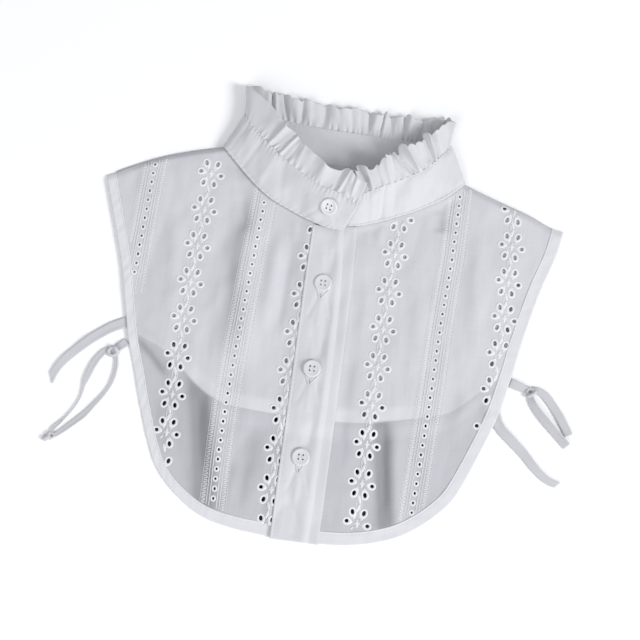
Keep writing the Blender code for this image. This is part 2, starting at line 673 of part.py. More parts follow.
def make_buttons():
    for number, (x, y) in enumerate(BUTTON_SPOTS, 1):
        spots = np.array([(x + dx, y + dy) for dx in (-5, 0, 5) for dy in (-5, 0, 5)])
        seat = lift(spots).max() + UNDER_PLACKET + SEAM + TOP_PLACKET + SEAM
        make_button(f"placket_button_{number}", (x, y, seat), Matrix.Identity(3))
    seam, top, _ = collar_lines(np.array([COLLAR_BUTTON_SECTION - 0.2, COLLAR_BUTTON_SECTION,
                                          COLLAR_BUTTON_SECTION + 0.2]))
    up = Vector(top[1] - seam[1]).normalized()
    right = Vector(seam[0] - seam[2]).normalized()
    out = right.cross(up).normalized()
    turn = Matrix((right, out.cross(right), out)).transposed()
    spot = Vector(seam[1] * (1 - COLLAR_BUTTON_HEIGHT) + top[1] * COLLAR_BUTTON_HEIGHT)
    make_button("collar_button", spot + out * (BAND / 2 + SEAM + 0.1), turn)


def make_tape(name, points, root_width, end_width):
    """A flat tape lying on the table along a smooth route."""
    path = evenly(smooth_path(points), TAPE_STEP)
    half = np.linspace(root_width, end_width, len(path)) / 2
    along = np.gradient(path, axis=0)
    along /= np.linalg.norm(along, axis=1)[:, None]
    beside = np.column_stack([-along[:, 1], along[:, 0]]) * half[:, None]
    height = np.full((len(path), 1), TIE_REST)
    rows = [np.hstack([path - beside, height]), np.hstack([path + beside, height])]
    return strip(name, rows, TAPE, 1, WHITE_COTTON)


def make_knot(name, x, y, length, width, height, turn):
    shape = bmesh.new()
    bmesh.ops.create_uvsphere(shape, u_segments=12, v_segments=8, radius=0.5)
    place = (Matrix.Translation(Vector((x, y, TIE_REST + height / 2)) * MM)
             @ Matrix.Rotation(math.radians(turn), 4, "Z")
             @ Matrix.Diagonal((length * MM, width * MM, height * MM, 1)))
    bmesh.ops.transform(shape, matrix=place, verts=shape.verts)
    mesh = bpy.data.meshes.new(name)
    shape.to_mesh(mesh)
    shape.free()
    mesh.shade_smooth()
    return new_object(name, mesh, WHITE_COTTON)


def make_collar():
    left_end = np.array(LEFT_FRONT_END, dtype=float)
    top_left = smooth_path(TOP_PLACKET_LEFT)
    under_right = smooth_path(UNDER_PLACKET_RIGHT)
    make_back()
    make_front("front_left", left_edge, left_shoulder, front_left_seam, left_end, 1)
    make_front("front_right", right_edge, right_shoulder, front_right_seam,
               extended(under_right + (SEAM, 0)), -1)
    make_front_binding("front_binding_left", left_edge, extended(top_left - (SEAM, 0)), 1)
    make_front_binding("front_binding_right", right_edge, extended(under_right + (SEAM, 0)), -1)
    placket("under_placket", UNDER_PLACKET_LEFT, UNDER_PLACKET_RIGHT, 0, UNDER_PLACKET)
    placket("top_placket", TOP_PLACKET_LEFT, TOP_PLACKET_RIGHT, UNDER_PLACKET + SEAM,
            TOP_PLACKET)
    make_band()
    make_frill()
    make_buttons()
    for name, (points, root_width, end_width) in {**TIES, **TIE_TABS}.items():
        make_tape(name, points, root_width, end_width)
    for name, sizes in TIE_KNOTS.items():
        make_knot(name, *sizes)


def extended(line):
    """A line carried a little past both its ends."""
    first, last = line[0] * 2 - line[1], line[-1] * 2 - line[-2]
    far_up = line[0] + (first - line[0]) * 3
    far_down = line[-1] + (last - line[-1]) * 3
    return np.vstack([far_up, line, far_down])


def new_collection(name):
    made = bpy.data.collections.new(name)
    bpy.context.scene.collection.children.link(made)
    return made


for old in list(bpy.data.objects):
    bpy.data.objects.remove(old, do_unlink=True)
collection = new_collection("detachable_collar")
cutters = new_collection("cutters")
make_collar()
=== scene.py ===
import math

import bmesh
import bpy
import numpy as np
from mathutils import Matrix, Vector
from mathutils.geometry import delaunay_2d_cdt


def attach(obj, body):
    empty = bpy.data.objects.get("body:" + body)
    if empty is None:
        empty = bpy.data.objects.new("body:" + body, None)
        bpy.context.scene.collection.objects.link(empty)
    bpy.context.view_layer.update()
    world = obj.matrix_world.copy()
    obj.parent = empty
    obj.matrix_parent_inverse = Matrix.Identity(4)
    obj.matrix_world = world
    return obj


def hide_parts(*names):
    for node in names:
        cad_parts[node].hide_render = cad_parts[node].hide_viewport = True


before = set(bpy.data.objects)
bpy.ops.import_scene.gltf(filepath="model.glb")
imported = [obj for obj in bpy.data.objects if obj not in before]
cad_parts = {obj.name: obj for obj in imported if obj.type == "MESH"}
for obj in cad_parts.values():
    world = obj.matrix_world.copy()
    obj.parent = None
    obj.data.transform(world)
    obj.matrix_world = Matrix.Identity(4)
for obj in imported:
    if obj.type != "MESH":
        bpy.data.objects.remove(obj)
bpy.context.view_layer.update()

# Tables are in millimetres, as in the part's own source, and MM scales them.
MM = 0.001

# Camera: it looks down on the collar, tipped toward the neck and turned a little
CAMERA_TURN = math.radians(7.4)
CAMERA_TIP = math.radians(12.0)
CAMERA_DISTANCE = 1000.0
CAMERA_TARGET = np.array([1.5, -86.0, 0.0])
CAMERA_WIDTH = 460.8

# Cloth thicknesses and layers of the solids
BINDING = 1.5
UNDER_PLACKET = 1.3
TOP_PLACKET = 1.4
BAND = 2.0
TAPE = 1.0
SEAM = 0.3
BINDING_WIDTH = 8.6
BACK_INSET = 2.5
SHOULDER_ROLL = 5.0
BACK_SHOULDER_INSET = 4.6
OVER_BACK = BINDING + 0.15
HEM_DROP = 12.0
NECK_RISE = 2.6
NECK_REACH = 22.0
BILLOW = 2.2
BILLOW_REACH = 30.0
TUCKED_TIE_LIFT = 1.6
TUCKED_TIE_REACH = 9.0

LEFT_EDGE = [
    (-168, 1.5), (-157, -31), (-146.3, -63.5), (-139, -93), (-132.5, -118.7),
    (-124.5, -142), (-118, -162), (-106.3, -192.6), (-96, -210.5), (-79, -226),
    (-62, -236), (-40, -241.3), (0, -245)]
RIGHT_EDGE = [
    (169, 1.5), (165, -18.6), (156, -47), (147.2, -83.5), (142, -110.6),
    (135, -140.5), (125.7, -166.7), (113.5, -196), (104, -210), (88, -224.5),
    (68.6, -235.5), (39, -243), (0, -245)]
LEFT_SHOULDER = [(-86, 34), (-108.5, 28), (-131, 20.3), (-153.4, 9.7), (-168, 1.5)]
RIGHT_SHOULDER = [(94, 28), (117.7, 19.4), (142, 11.2), (158, 4), (169, 1.5)]
BACK_HEM = [
    (-131, -112), (-118, -117.5), (-106, -123), (-93.4, -132.5), (-78.3, -145.8),
    (-65, -153), (-48, -156.7), (0, -158.7), (39, -157), (60, -153), (77, -148.8),
    (95, -144), (106, -138), (122, -123), (137, -110)]
COLLAR_SECTIONS = [
    # seam x, y, z        top x, y, z           edge x, y, z
    ((10.1, -20.0, 9.8), (18.6, -4.0, 23.0), (23.5, 11.0, 29.0)),
    ((-1.2, -19.5, 9.6), (5.0, 3.8, 23.2), (10.3, 18.3, 29.5)),
    ((-10.4, -16.9, 8.8), (-2.5, 5.6, 22.6), (2.1, 20.6, 29.0)),
    ((-21.2, -13.0, 7.2), (-10.8, 8.0, 21.3), (-5.7, 22.0, 28.0)),
    ((-32.2, -8.4, 6.8), (-21.8, 14.4, 19.8), (-15.1, 27.4, 26.5)),
    ((-45.0, -2.6, 6.7), (-34.6, 23.0, 18.2), (-25.3, 36.2, 25.0)),
    ((-56.7, 5.6, 6.7), (-46.4, 32.0, 16.6), (-34.6, 45.4, 23.0)),
    ((-67.3, 14.9, 6.7), (-56.5, 41.0, 15.0), (-45.6, 56.4, 20.5)),
    ((-76.8, 24.1, 6.7), (-65.0, 49.6, 13.0), (-57.0, 67.5, 17.0)),
    ((-82.6, 30.0, 6.6), (-70.2, 55.6, 10.8), (-68.0, 75.6, 13.5)),
    ((-85.2, 33.4, 4.4), (-72.6, 59.6, 7.0), (-74.6, 79.6, 8.8)),
    ((-82.0, 33.6, 2.5), (-68.8, 61.0, 3.4), (-72.0, 81.8, 4.4)),
    ((-72.0, 32.6, 2.3), (-60.0, 61.2, 2.4), (-62.0, 81.4, 3.6)),
    ((-48.0, 30.8, 2.3), (-42.1, 60.0, 2.1), (-44.1, 79.2, 3.4)),
    ((-13.6, 28.6, 2.3), (-17.2, 57.8, 2.0), (-19.6, 76.2, 3.3)),
    ((5.3, 27.9, 2.3), (1.5, 57.2, 2.0), (-0.7, 75.2, 3.3)),
    ((25.4, 27.2, 2.3), (21.7, 56.8, 2.0), (21.8, 74.2, 3.3)),
    ((48.0, 26.8, 2.3), (40.5, 55.9, 2.1), (40.7, 73.2, 3.4)),
    ((74.0, 26.9, 2.3), (62.0, 55.3, 2.4), (62.0, 74.2, 3.6)),
    ((88.5, 28.0, 2.5), (75.0, 56.2, 3.4), (77.0, 76.4, 4.4)),
    ((93.4, 27.2, 4.4), (79.6, 55.0, 7.0), (84.2, 73.0, 8.8)),
    ((91.0, 23.6, 6.6), (78.2, 50.6, 10.6), (77.5, 69.5, 13.5)),
    ((85.6, 18.6, 6.7), (74.2, 45.0, 13.0), (67.5, 62.0, 17.5)),
    ((78.9, 12.9, 6.7), (68.9, 37.9, 15.0), (59.5, 52.8, 20.5)),
    ((68.6, 6.6, 6.7), (62.3, 31.0, 16.6), (50.4, 45.8, 22.5)),
    ((57.7, 0.6, 6.7), (52.3, 24.2, 17.8), (40.6, 38.4, 24.0)),
    ((46.6, -4.6, 6.7), (44.0, 19.0, 18.8), (33.4, 33.6, 25.0)),
    ((38.3, -8.2, 6.7), (35.0, 14.4, 19.5), (27.0, 28.4, 25.5)),
    ((28.5, -12.0, 6.9), (25.5, 8.8, 20.0), (18.8, 23.4, 26.0)),
    ((17.0, -15.0, 7.2), (14.7, 4.6, 20.6), (9.6, 20.4, 26.2)),
    ((-6.0, -16.4, 7.3), (-6.0, 3.2, 20.8), (-9.0, 18.6, 25.8)),
]
BACK_NECK_SECTIONS = (11.4, 18.6)
FRILL_WAVES = 35
FRILL_FLAT_END = 10.0
FRILL_WAVE_DRIFT = ((9, 0.35), (31, 0.22))

FRONT_FOLDS = [
    # x0, y0, x1, y1, half width, share
    (-76.6, -147, -66, -222, 7.0, -0.85),
    (-88.0, -150, -80, -214, 8.0, 0.55),
    (55.4, -150, 60.6, -228, 6.0, -0.80),
    (-66.0, 0, -60.5, -30, 5.5, -0.80),
    (-36.0, -24, -38.8, -100, 7.0, 0.90),
    (-29.5, -38, -28.5, -105, 4.5, -0.60),
    (78.0, 2, 80.0, -12, 6.0, -0.90),
    (108.5, -8, 112.1, -80, 8.0, 0.60),
    (-124.0, -14, -121.8, -88, 8.0, -0.60),
    (-112.0, -20, -108.0, -90, 8.0, 0.55),
    (67.0, -30, 66.0, -130, 9.0, 0.50),
    (24.0, -40, 28.0, -200, 5.0, -0.50),
    (102.0, -100, 98.0, -190, 8.0, -0.50),
    (-118.0, -112, -78.0, -145, 7.0, 0.45),
]

# A crease fades over this share of its length at each end, from this share of its height
CREASE_FADE = 0.35
CREASE_START = 0.15
# How far from the outer edge, the neck seam and the shoulder the cloth is free to crease
CREASE_CALM_EDGE = (4.0, 9.0)
CREASE_CALM_NECK = 6.0
CREASE_CALM_SHOULDER = 12.0
# The front is never lower than this share of its height over the back
LEAST_RISE = 0.55
# Finer creases that lie on those folds
CREASES = [
    # route, half width, height
    ([(-54.0, 0), (-55.0, -28), (-54.5, -52), (-51.0, -98), (-53.0, -134)], 8.5, 3.00),
    ([(-64.6, -6), (-66.8, -32), (-66.4, -67), (-64.0, -100)], 4.2, -0.60),
    ([(-68.6, -5.6), (-69.6, -33), (-70.0, -60)], 3.6, 0.55),
    ([(-66.5, -62), (-76.1, -80.6), (-86, -100)], 5.0, 0.60),
    ([(-74, -74), (-83, -92), (-92, -108)], 5.0, -0.45),
    ([(-33.0, -16), (-35.7, -61.7), (-38.3, -112)], 5.4, 1.20),
    ([(-25.8, -36), (-26.4, -68.3), (-27.9, -106)], 2.8, -0.60),
    ([(-68.0, -140.0), (-62.8, -176.5), (-54.0, -206.0), (-50.0, -226.0)], 7.6, 3.60),
    ([(-79.0, -147.4), (-74.6, -176.5), (-66.0, -222.0)], 4.0, -0.80),
    ([(-86, -152), (-80.5, -191.6)], 5.0, 0.50),
    ([(-35.9, -190), (-38.4, -224)], 3.4, -0.55),
    ([(-44.0, -176), (-46.6, -222)], 4.0, 0.40),
    ([(-24.0, -170), (-26.0, -224)], 4.0, 0.35),
    ([(63.6, -150), (67.2, -190), (73.5, -230)], 5.4, 2.20),
    ([(55.0, -150), (58.8, -190), (64.5, -229)], 3.2, -0.80),
    ([(27.2, -112), (25.0, -152)], 4.0, -0.40),
    ([(34.5, -40), (33.0, -100)], 4.0, 0.30),
    ([(117, -112), (109.0, -132.8), (99, -152)], 4.5, -0.65),
    ([(122, -100), (116, -118), (106, -138)], 4.0, 0.45),
    ([(77.3, 2), (79.3, -10)], 3.6, -1.00),
    ([(81.0, 14.5), (85.0, 13.2), (89.6, 9.4)], 2.4, -0.50),
    ([(-112.0, -10), (-108.0, -70), (-110, -100)], 5.0, 0.35),
    ([(-104.0, -20), (-101.0, -80)], 3.5, -0.30),
    ([(-122.0, -10), (-121.0, -64)], 4.5, -0.45),
    ([(103.0, -6), (104.0, -70)], 5.0, -0.35),
    ([(118.0, -30), (112.0, -96)], 5.0, 0.35),
    ([(31.0, -12), (32.5, -30)], 2.2, -0.45),
    ([(38.0, -9), (37.0, -26)], 2.6, 0.40),
    ([(66.0, 2), (65.0, -24)], 2.6, -0.35),
    ([(-43.5, -6), (-44.0, -26)], 2.2, -0.40),
    ([(-25.5, -12), (-24.5, -34)], 2.2, 0.45),
    ([(57.2, -226), (59.6, -234)], 2.2, 0.60),
    ([(-77, -219), (-68, -227)], 2.2, -0.50),
    ([(-124, -109), (-114, -117), (-104, -127), (-94, -138)], 3.6, 1.30),
    ([(120, -60), (134, -70)], 5.0, 0.25),
    ([(-110.0, -58), (-98.0, -78), (-84.0, -92)], 4.0, -0.40),
    ([(-122.0, -88), (-112.0, -84), (-100.0, -104)], 3.4, 0.35),
    ([(-120.0, 6), (-112.0, -8), (-106.0, -26)], 4.0, -0.40),
    ([(-78.0, 26), (-74.0, 6), (-68.0, -14)], 3.5, 0.45),
    ([(-98.0, -150), (-95.0, -176), (-86.0, -206)], 4.5, 0.40),
    ([(-41.0, -138), (-40.0, -166), (-44.0, -186)], 4.0, 0.45),
    ([(-34.0, -166), (-44.0, -188), (-50.0, -226)], 4.0, -0.55),
    ([(112.0, 8), (116.0, -14), (124.0, -36)], 4.5, -0.40),
    ([(62.0, -60), (66.0, -92), (64.0, -126)], 5.0, -0.35),
]

# Painted shade: bands where the cloth's colour is darkened along folds that turn from the light,
# and along two folds of the single layer below the back's hem
SHADE_BANDS = [
    # route, half width, strength
    ([(-60.0, 14), (-64.8, -22), (-66.0, -52), (-62.6, -98), (-66.0, -134)], 6.4, 0.34),
    ([(-130, -114.5), (-117.0, -125.0), (-108.0, -134.0), (-100, -143)], 2.8, 0.50),
    ([(-21.0, -24), (-22.0, -62)], 4.0, 0.16),
    ([(-31.0, -166), (-34.0, -196), (-37.0, -228)], 6.0, 0.20),
    ([(-45.0, -192), (-48.5, -230)], 3.4, 0.22),
    ([(-104.0, -150), (-100.0, -178), (-92.0, -200)], 6.0, 0.12),
    ([(26.0, -112), (24.0, -150)], 4.5, 0.10),
    ([(112.0, -124), (104.0, -142), (97.0, -154)], 5.0, 0.14),
    ([(80.0, 6), (80.5, -10)], 5.0, 0.22),
    ([(-88.0, -52), (-100.0, -68), (-112.0, -84)], 4.0, 0.10),
    ([(-70.0, 22), (-66.0, 8)], 7.0, 0.20),
]
# Painted shade along two folds of the single layer, only below the back's hem
SINGLE_LAYER_SHADE_BANDS = [
    ([(-88.0, -112), (-77.0, -150), (-71.4, -176), (-66.4, -203.6), (-55.0, -262)], 8.4, 0.84),
    ([(48.0, -124), (56.0, -166), (60.4, -198), (74.0, -266)], 6.4, 0.76),
]
# Painted shade never darkens the cloth below this share of its colour
SHADE_FLOOR = 0.46

# Rumples all over the cloth, as layers of stretched noise
NOISE_CELLS = 64
CLOTH_CRUMPLES = [
    # turn in degrees, across, along, height
    (6, 10.0, 44.0, 0.60),
    (-16, 16.0, 36.0, 0.60),
    (28, 8.0, 26.0, 0.34),
    (-34, 9.0, 28.0, 0.30),
    (4, 4.4, 18.0, 0.15),
    (-6, 2.8, 8.0, 0.05),
]
BAND_CRUMPLES = [
    (12, 13.0, 22.0, 0.95),
    (-24, 8.0, 15.0, 0.50),
    (40, 4.6, 9.0, 0.20),
]
BINDING_CRUMPLES = [
    (34, 3.4, 14.0, 0.24),
    (52, 6.5, 18.0, 0.22),
    (10, 2.6, 9.0, 0.08),
]

# Plackets: left and right edges as (x, y) from the neck to the hem
TOP_PLACKET_LEFT = [(-12.4, -17.4), (-13.1, -60), (-13.0, -133), (-13.4, -245)]
TOP_PLACKET_RIGHT = [(10.4, -18.8), (13.6, -60), (14.9, -129), (14.0, -245)]
UNDER_PLACKET_LEFT = [(-7, -15.6), (-7, -60), (-7, -136), (-7, -245)]
UNDER_PLACKET_RIGHT = [(19.6, -14.8), (21.2, -60), (21.5, -136), (20.8, -245)]
LEFT_FRONT_END = [(-8, -10), (-8, -250)]

# Eyelet flowers: the column's top and bottom flower and how many it has
FLOWER_COLUMNS = [
    # x top, y top, x bottom, y bottom, flowers, bend to the right
    (-91.8, 11.4, -95.0, -235.4, 10, -2.2),
    (-9.6, -14.6, -17.3, -239.4, 9, -1.1),
    (50.0, -4.0, 45.6, -226.8, 9, -1.6),
    (131.6, 11.6, 126.6, -175.5, 8, 3.0),
]
PETALS = [
    # across, up, half width, half length, lean in degrees
    (-4.0, 7.7, 1.55, 2.1, 14),
    (4.1, 7.5, 1.55, 2.1, -14),
    (-7.3, 1.0, 1.65, 1.55, 0),
    (7.5, -1.0, 1.65, 1.55, 0),
    (-4.5, -7.2, 1.55, 2.1, -16),
    (3.3, -7.9, 1.55, 2.1, 12),
]

# Ladders of small eyelets: their middle line, from the shoulder to the hem
LADDERS = [
    [(-133.0, 20.0), (-133.5, 13.5), (-135.0, -32.5), (-136.1, -67.2), (-136.4, -82.0)],
    [(-49.6, 8.0), (-50.9, -24.7), (-53.7, -82.5), (-56.6, -155.0), (-56.0, -236.0)],
    [(91.2, 24.0), (90.4, -27.4), (88.9, -56.0), (87.5, -83.6), (86.0, -137.8), (82.0, -228.0)],
]
LADDER_PITCH = 6.75
LADDER_HOLE = (1.0, 1.2)

BUTTON_THICKNESS = 2.2
BUTTON_SPOTS = [(0.4, -60.3), (0.7, -123.4), (1.0, -186.5)]
COLLAR_BUTTON_SECTION = 1.45
COLLAR_BUTTON_HEIGHT = 0.55

# Ties: centre line, width at the root and at the end
TIES = {
    "back_tie_left": ([
        (-135.4, -104.9), (-141, -108), (-148, -112), (-158.3, -120), (-168.2, -129.6),
        (-175.9, -138.2), (-181.1, -147), (-184.0, -156.4)], 7.6, 5.6),
    "front_tie_left_outer": ([
        (-145.4, -126.9), (-149.0, -129.2), (-154.1, -136.8), (-157.5, -146.9), (-159.3, -154.6),
        (-160.4, -163.5), (-164.0, -172.4), (-170.4, -181.6), (-176.0, -188.4),
        (-176.4, -191.6)], 4.2, 3.2),
    "front_tie_left_inner": ([
        (-141.0, -129.2), (-139.6, -133.0), (-138.8, -140.0), (-140.1, -149.9), (-144.4, -159.3),
        (-150.2, -168.2), (-155.6, -175.4), (-162.5, -182.4), (-169.0, -188.8),
        (-174.0, -193.0)], 4.2, 3.6),
    "front_tie_right_outer": ([
        (158.4, -117.4), (162.4, -117.6), (166.5, -119.6), (171.4, -124.4), (178.2, -133.1),
        (183.2, -140.8), (186.6, -146.6)], 6.0, 6.0),
    "front_tie_right_inner": ([
        (156.8, -121.0), (157.8, -125.0), (160.6, -129.6), (165.9, -135.6), (173.9, -143.4),
        (180.6, -149.6), (185.8, -154.6)], 5.6, 5.2),
    "back_tie_right": ([
        (131.2, -117.8), (132.6, -122.4), (132.8, -131.0), (134.0, -140.0),
        (138.6, -148.2), (146.4, -155.0), (155.7, -163.1), (164.5, -172.1), (171.6, -178.2),
        (177.6, -181.2), (183.4, -182.6)], 7.6, 6.0),
}
TIE_TABS = {
    "front_tab_left": ([(-133.7, -119.8), (-136.7, -122.7), (-140.2, -125.8)], 6.4, 5.0),
    "front_tab_right": ([(141.8, -114.0), (147.6, -115.9), (154.8, -118.2)], 7.2, 5.6),
}
# Share of a tape's width at shares of its length, how much higher its left side lies, in mm,
# and how much shorter its left side is cut
TIE_FORMS = {
    "back_tie_left": ([(0, 1.0), (0.7, 1.0), (1, 0.85)], 0.5, 6.5),
    "front_tie_left_outer": ([(0, 1.0), (0.2, 1.25), (0.38, 1.0), (0.45, 0.5), (0.62, 0.28),
                              (0.78, 0.30), (0.9, 0.8), (1, 0.9)], 0.3, 0.0),
    "front_tie_left_inner": ([(0, 0.7), (0.35, 0.65), (0.55, 0.8), (0.7, 1.25), (0.85, 1.1),
                              (1, 0.9)], -0.2, 0.0),
    "front_tie_right_outer": ([(0, 0.8), (0.3, 1.0), (1, 1.0)], -0.3, 0.0),
    "front_tie_right_inner": ([(0, 0.8), (0.3, 1.0), (1, 1.0)], -3.2, 0.0),
    "back_tie_right": ([(0, 1.0), (0.6, 1.0), (1, 0.8)], -0.5, 2.0),
    "front_tab_left": ([(0, 1.0), (0.6, 1.0), (1, 0.85)], 0.2, 0.0),
    "front_tab_right": ([(0, 1.0), (0.6, 1.0), (1, 0.8)], -0.9, 0.0),
}
TIE_KNOTS = {
    # x, y, ring across, tube radius, turn in degrees, strap lengths either way
    "tie_knot_left": (-142.6, -128.3, 8.6, 1.25, 38, 3.6, 3.4),
    "tie_knot_right": (156.6, -119.0, 7.4, 1.30, -60, 3.9, 3.6),
    "tie_end_knot_left": (-175.9, -193.4, 5.4, 0.85, 190, 3.0, 2.6),
}
END_BLOB = (-180.0, -195.8)
# How high the tapes and knots rest above the table
TIE_REST = 0.1

# Points are compared with paths in blocks of this many, to save memory
BLOCK = 20000


def at_sections(table, places):
    """Rows of a table read at fractional row numbers, along a smooth curve."""
    given = np.array(table, dtype=float)
    padded = np.vstack([2 * given[0] - given[1], given, 2 * given[-1] - given[-2]])
    span = np.clip(np.floor(places).astype(int), 0, len(given) - 2)
    t = (np.asarray(places) - span)[:, None]
    a, b, c, d = (padded[span + k] for k in range(4))
    return 0.5 * (2 * b + (c - a) * t + (2 * a - 5 * b + 4 * c - d) * t ** 2
                  + (3 * b - a - 3 * c + d) * t ** 3)


def smooth_path(points, per_span=8):
    """Points on a smooth curve through the given ones."""
    return at_sections(points, np.arange((len(points) - 1) * per_span + 1) / per_span)


def run_of(path):
    """Distance along a path at each of its points."""
    steps = np.linalg.norm(np.diff(path, axis=0), axis=1)
    return np.concatenate([[0.0], np.cumsum(steps)])


def along_path(path, distances):
    """The points at some distances along a path."""
    run = run_of(path)
    return np.column_stack([np.interp(distances, run, path[:, k]) for k in range(path.shape[1])])


def matched(path, count):
    """The same path with a given number of evenly spaced points."""
    return along_path(path, np.linspace(0, run_of(path)[-1], count))


def evenly(path, step):
    """The same path with points about one step apart."""
    return matched(path, max(1, round(run_of(path)[-1] / step)) + 1)


def unit(vectors):
    """The same vectors at length 1."""
    return vectors / np.maximum(np.linalg.norm(vectors, axis=-1, keepdims=True), 1e-9)


def shifted(path, distance):
    """A flat path moved sideways, to its left where the distance is positive."""
    along = unit(np.gradient(path, axis=0))
    return path + distance * np.column_stack([-along[:, 1], along[:, 0]])


def up_to_line(path, line, side):
    """A path as far as it crosses an upright line, from the garment's outer side."""
    order = np.argsort(line[:, 1])
    gap = (path[:, 0] - np.interp(path[:, 1], line[order, 1], line[order, 0])) * side
    first = int(np.argmax(gap > 0))
    share = gap[first - 1] / (gap[first - 1] - gap[first])
    crossing = path[first - 1] + (path[first] - path[first - 1]) * share
    return np.vstack([path[:first], crossing])


def closed_ring(outline):
    return np.vstack([outline, outline[:1]])


def nearest_on(path, points):
    """How far flat points are from a path, and how far along it their nearest places are."""
    a, ab = path[:-1], np.diff(path, axis=0)
    square = np.maximum((ab * ab).sum(1), 1e-9)
    run = run_of(path)
    gaps, places = np.empty(len(points)), np.empty(len(points))
    for start in range(0, len(points), BLOCK):
        block = slice(start, start + BLOCK)
        ap = points[block][:, None, :] - a[None, :, :]
        t = np.clip((ap * ab).sum(2) / square, 0, 1)
        each_gap = np.linalg.norm(ap - t[:, :, None] * ab, axis=2)
        nearest = each_gap.argmin(1)
        row = np.arange(len(nearest))
        gaps[block] = each_gap[row, nearest]
        places[block] = run[nearest] + t[row, nearest] * np.diff(run)[nearest]
    return gaps, places


def distance_to(path, points):
    """Shortest distance from each flat point to a path."""
    return nearest_on(path, points)[0]


def inside(polygon, points):
    """Which flat points lie inside a closed polygon."""
    x, y = points[:, 0], points[:, 1]
    result = np.zeros(len(points), dtype=bool)
    for (x0, y0), (x1, y1) in zip(polygon, np.roll(polygon, -1, axis=0)):
        if y0 == y1:
            continue
        crosses = (y0 > y) != (y1 > y)
        result ^= crosses & (x < x0 + (y - y0) * (x1 - x0) / (y1 - y0))
    return result


def eased(t):
    """A smooth step from 0 to 1."""
    t = np.clip(t, 0, 1)
    return t * t * (3 - 2 * t)


def bell(distance, width, power=2):
    """1 at no distance, fading to almost nothing at twice the width."""
    return np.exp(-(distance / width) ** power)


def extended(line):
    """A line carried a little past both its ends."""
    first, last = line[0] * 2 - line[1], line[-1] * 2 - line[-2]
    far_up = line[0] + (first - line[0]) * 3
    far_down = line[-1] + (last - line[-1]) * 3
    return np.vstack([far_up, line, far_down])


left_edge = smooth_path(LEFT_EDGE)
right_edge = smooth_path(RIGHT_EDGE)
left_shoulder = smooth_path(LEFT_SHOULDER)
right_shoulder = smooth_path(RIGHT_SHOULDER)
back_hem = smooth_path(BACK_HEM)
front_outline = np.vstack([left_edge, right_edge[-2::-1]])
shoulders = (left_shoulder, right_shoulder)
seam_table = [row[0] for row in COLLAR_SECTIONS]
front_left_seam = at_sections(seam_table, np.linspace(0, 9.6, 60))[:, :2]
front_right_seam = at_sections(seam_table, np.linspace(20.4, 30, 60))[:, :2]
tucked_tie = np.array(TIES["back_tie_right"][0][:4], dtype=float)


def back_hem_height(x):
    return np.interp(x, back_hem[:, 0], back_hem[:, 1])


def ridge(route, points, width):
    """1 along the middle of a route, fading to its sides and towards its ends."""
    path = smooth_path(route, 3)
    gaps, places = nearest_on(path, points)
    share = places / run_of(path)[-1]
    faded = [eased(end / CREASE_FADE + CREASE_START) for end in (share, 1 - share)]
    return bell(gaps, width) * faded[0] * faded[1]


def to_neck_seam(points):
    """Distance from flat points to the nearer front's neck seam."""
    return np.minimum(distance_to(front_left_seam, points), distance_to(front_right_seam, points))


def soft_noise(points, size, seed):
    """Smooth noise from -1 to 1 over flat points; size is mm from bump to bump each way."""
    table = np.random.default_rng(seed).uniform(-1, 1, (NOISE_CELLS, NOISE_CELLS))
    place = points / np.array(size)
    cell = np.floor(place).astype(int)
    u, v = eased(place - cell).T
    i, j = (cell % NOISE_CELLS).T
    i_next, j_next = (i + 1) % NOISE_CELLS, (j + 1) % NOISE_CELLS
    return ((table[i, j] * (1 - u) + table[i_next, j] * u) * (1 - v)
            + (table[i, j_next] * (1 - u) + table[i_next, j_next] * u) * v)


def crumpled(points, crumples):
    """Soft uneven rumples in mm, from layers of turned and stretched noise."""
    total = np.zeros(len(points))
    for seed, (turn, across, along, height) in enumerate(crumples):
        c, s = math.cos(math.radians(turn)), math.sin(math.radians(turn))
        turned = points @ np.array([[c, -s], [s, c]])
        total += height * soft_noise(turned + 977.0, (across, along), seed)
    return total


def lift(points):
    """Height of the front cloth's underside above the table: the solids' form and the creases."""
    over_back = eased((points[:, 1] - back_hem_height(points[:, 0]) + HEM_DROP + 2) / HEM_DROP)
    base = OVER_BACK * over_back
    tucked = TUCKED_TIE_LIFT * bell(distance_to(tucked_tie, points), TUCKED_TIE_REACH, 4)
    base = np.maximum(base, tucked)
    to_neck = to_neck_seam(points)
    to_edge = distance_to(front_outline, points)
    to_shoulder = np.minimum(*(distance_to(line, points) for line in shoulders))
    share = np.ones(len(points))
    for x0, y0, x1, y1, half_width, amount in FRONT_FOLDS:
        share += amount * ridge([(x0, y0), (x1, y1)], points, half_width)
    calm = eased((to_edge - BINDING_WIDTH) / BILLOW_REACH) * eased(to_neck / BILLOW_REACH)
    billow = BILLOW * calm * np.clip(share, 0.1, 2.0)
    neck = NECK_RISE * bell(to_neck, NECK_REACH)
    rolled = eased(to_shoulder / SHOULDER_ROLL)
    creased = sum(height * ridge(route, points, width) for route, width, height in CREASES)
    creased = creased + crumpled(points, CLOTH_CRUMPLES)
    calm_from, calm_reach = CREASE_CALM_EDGE
    creased = creased * eased((to_edge - calm_from) / calm_reach) * eased(to_neck / CREASE_CALM_NECK)
    total = (base + billow + neck) * rolled + creased * eased(to_shoulder / CREASE_CALM_SHOULDER)
    return np.maximum(total, base * rolled * LEAST_RISE)


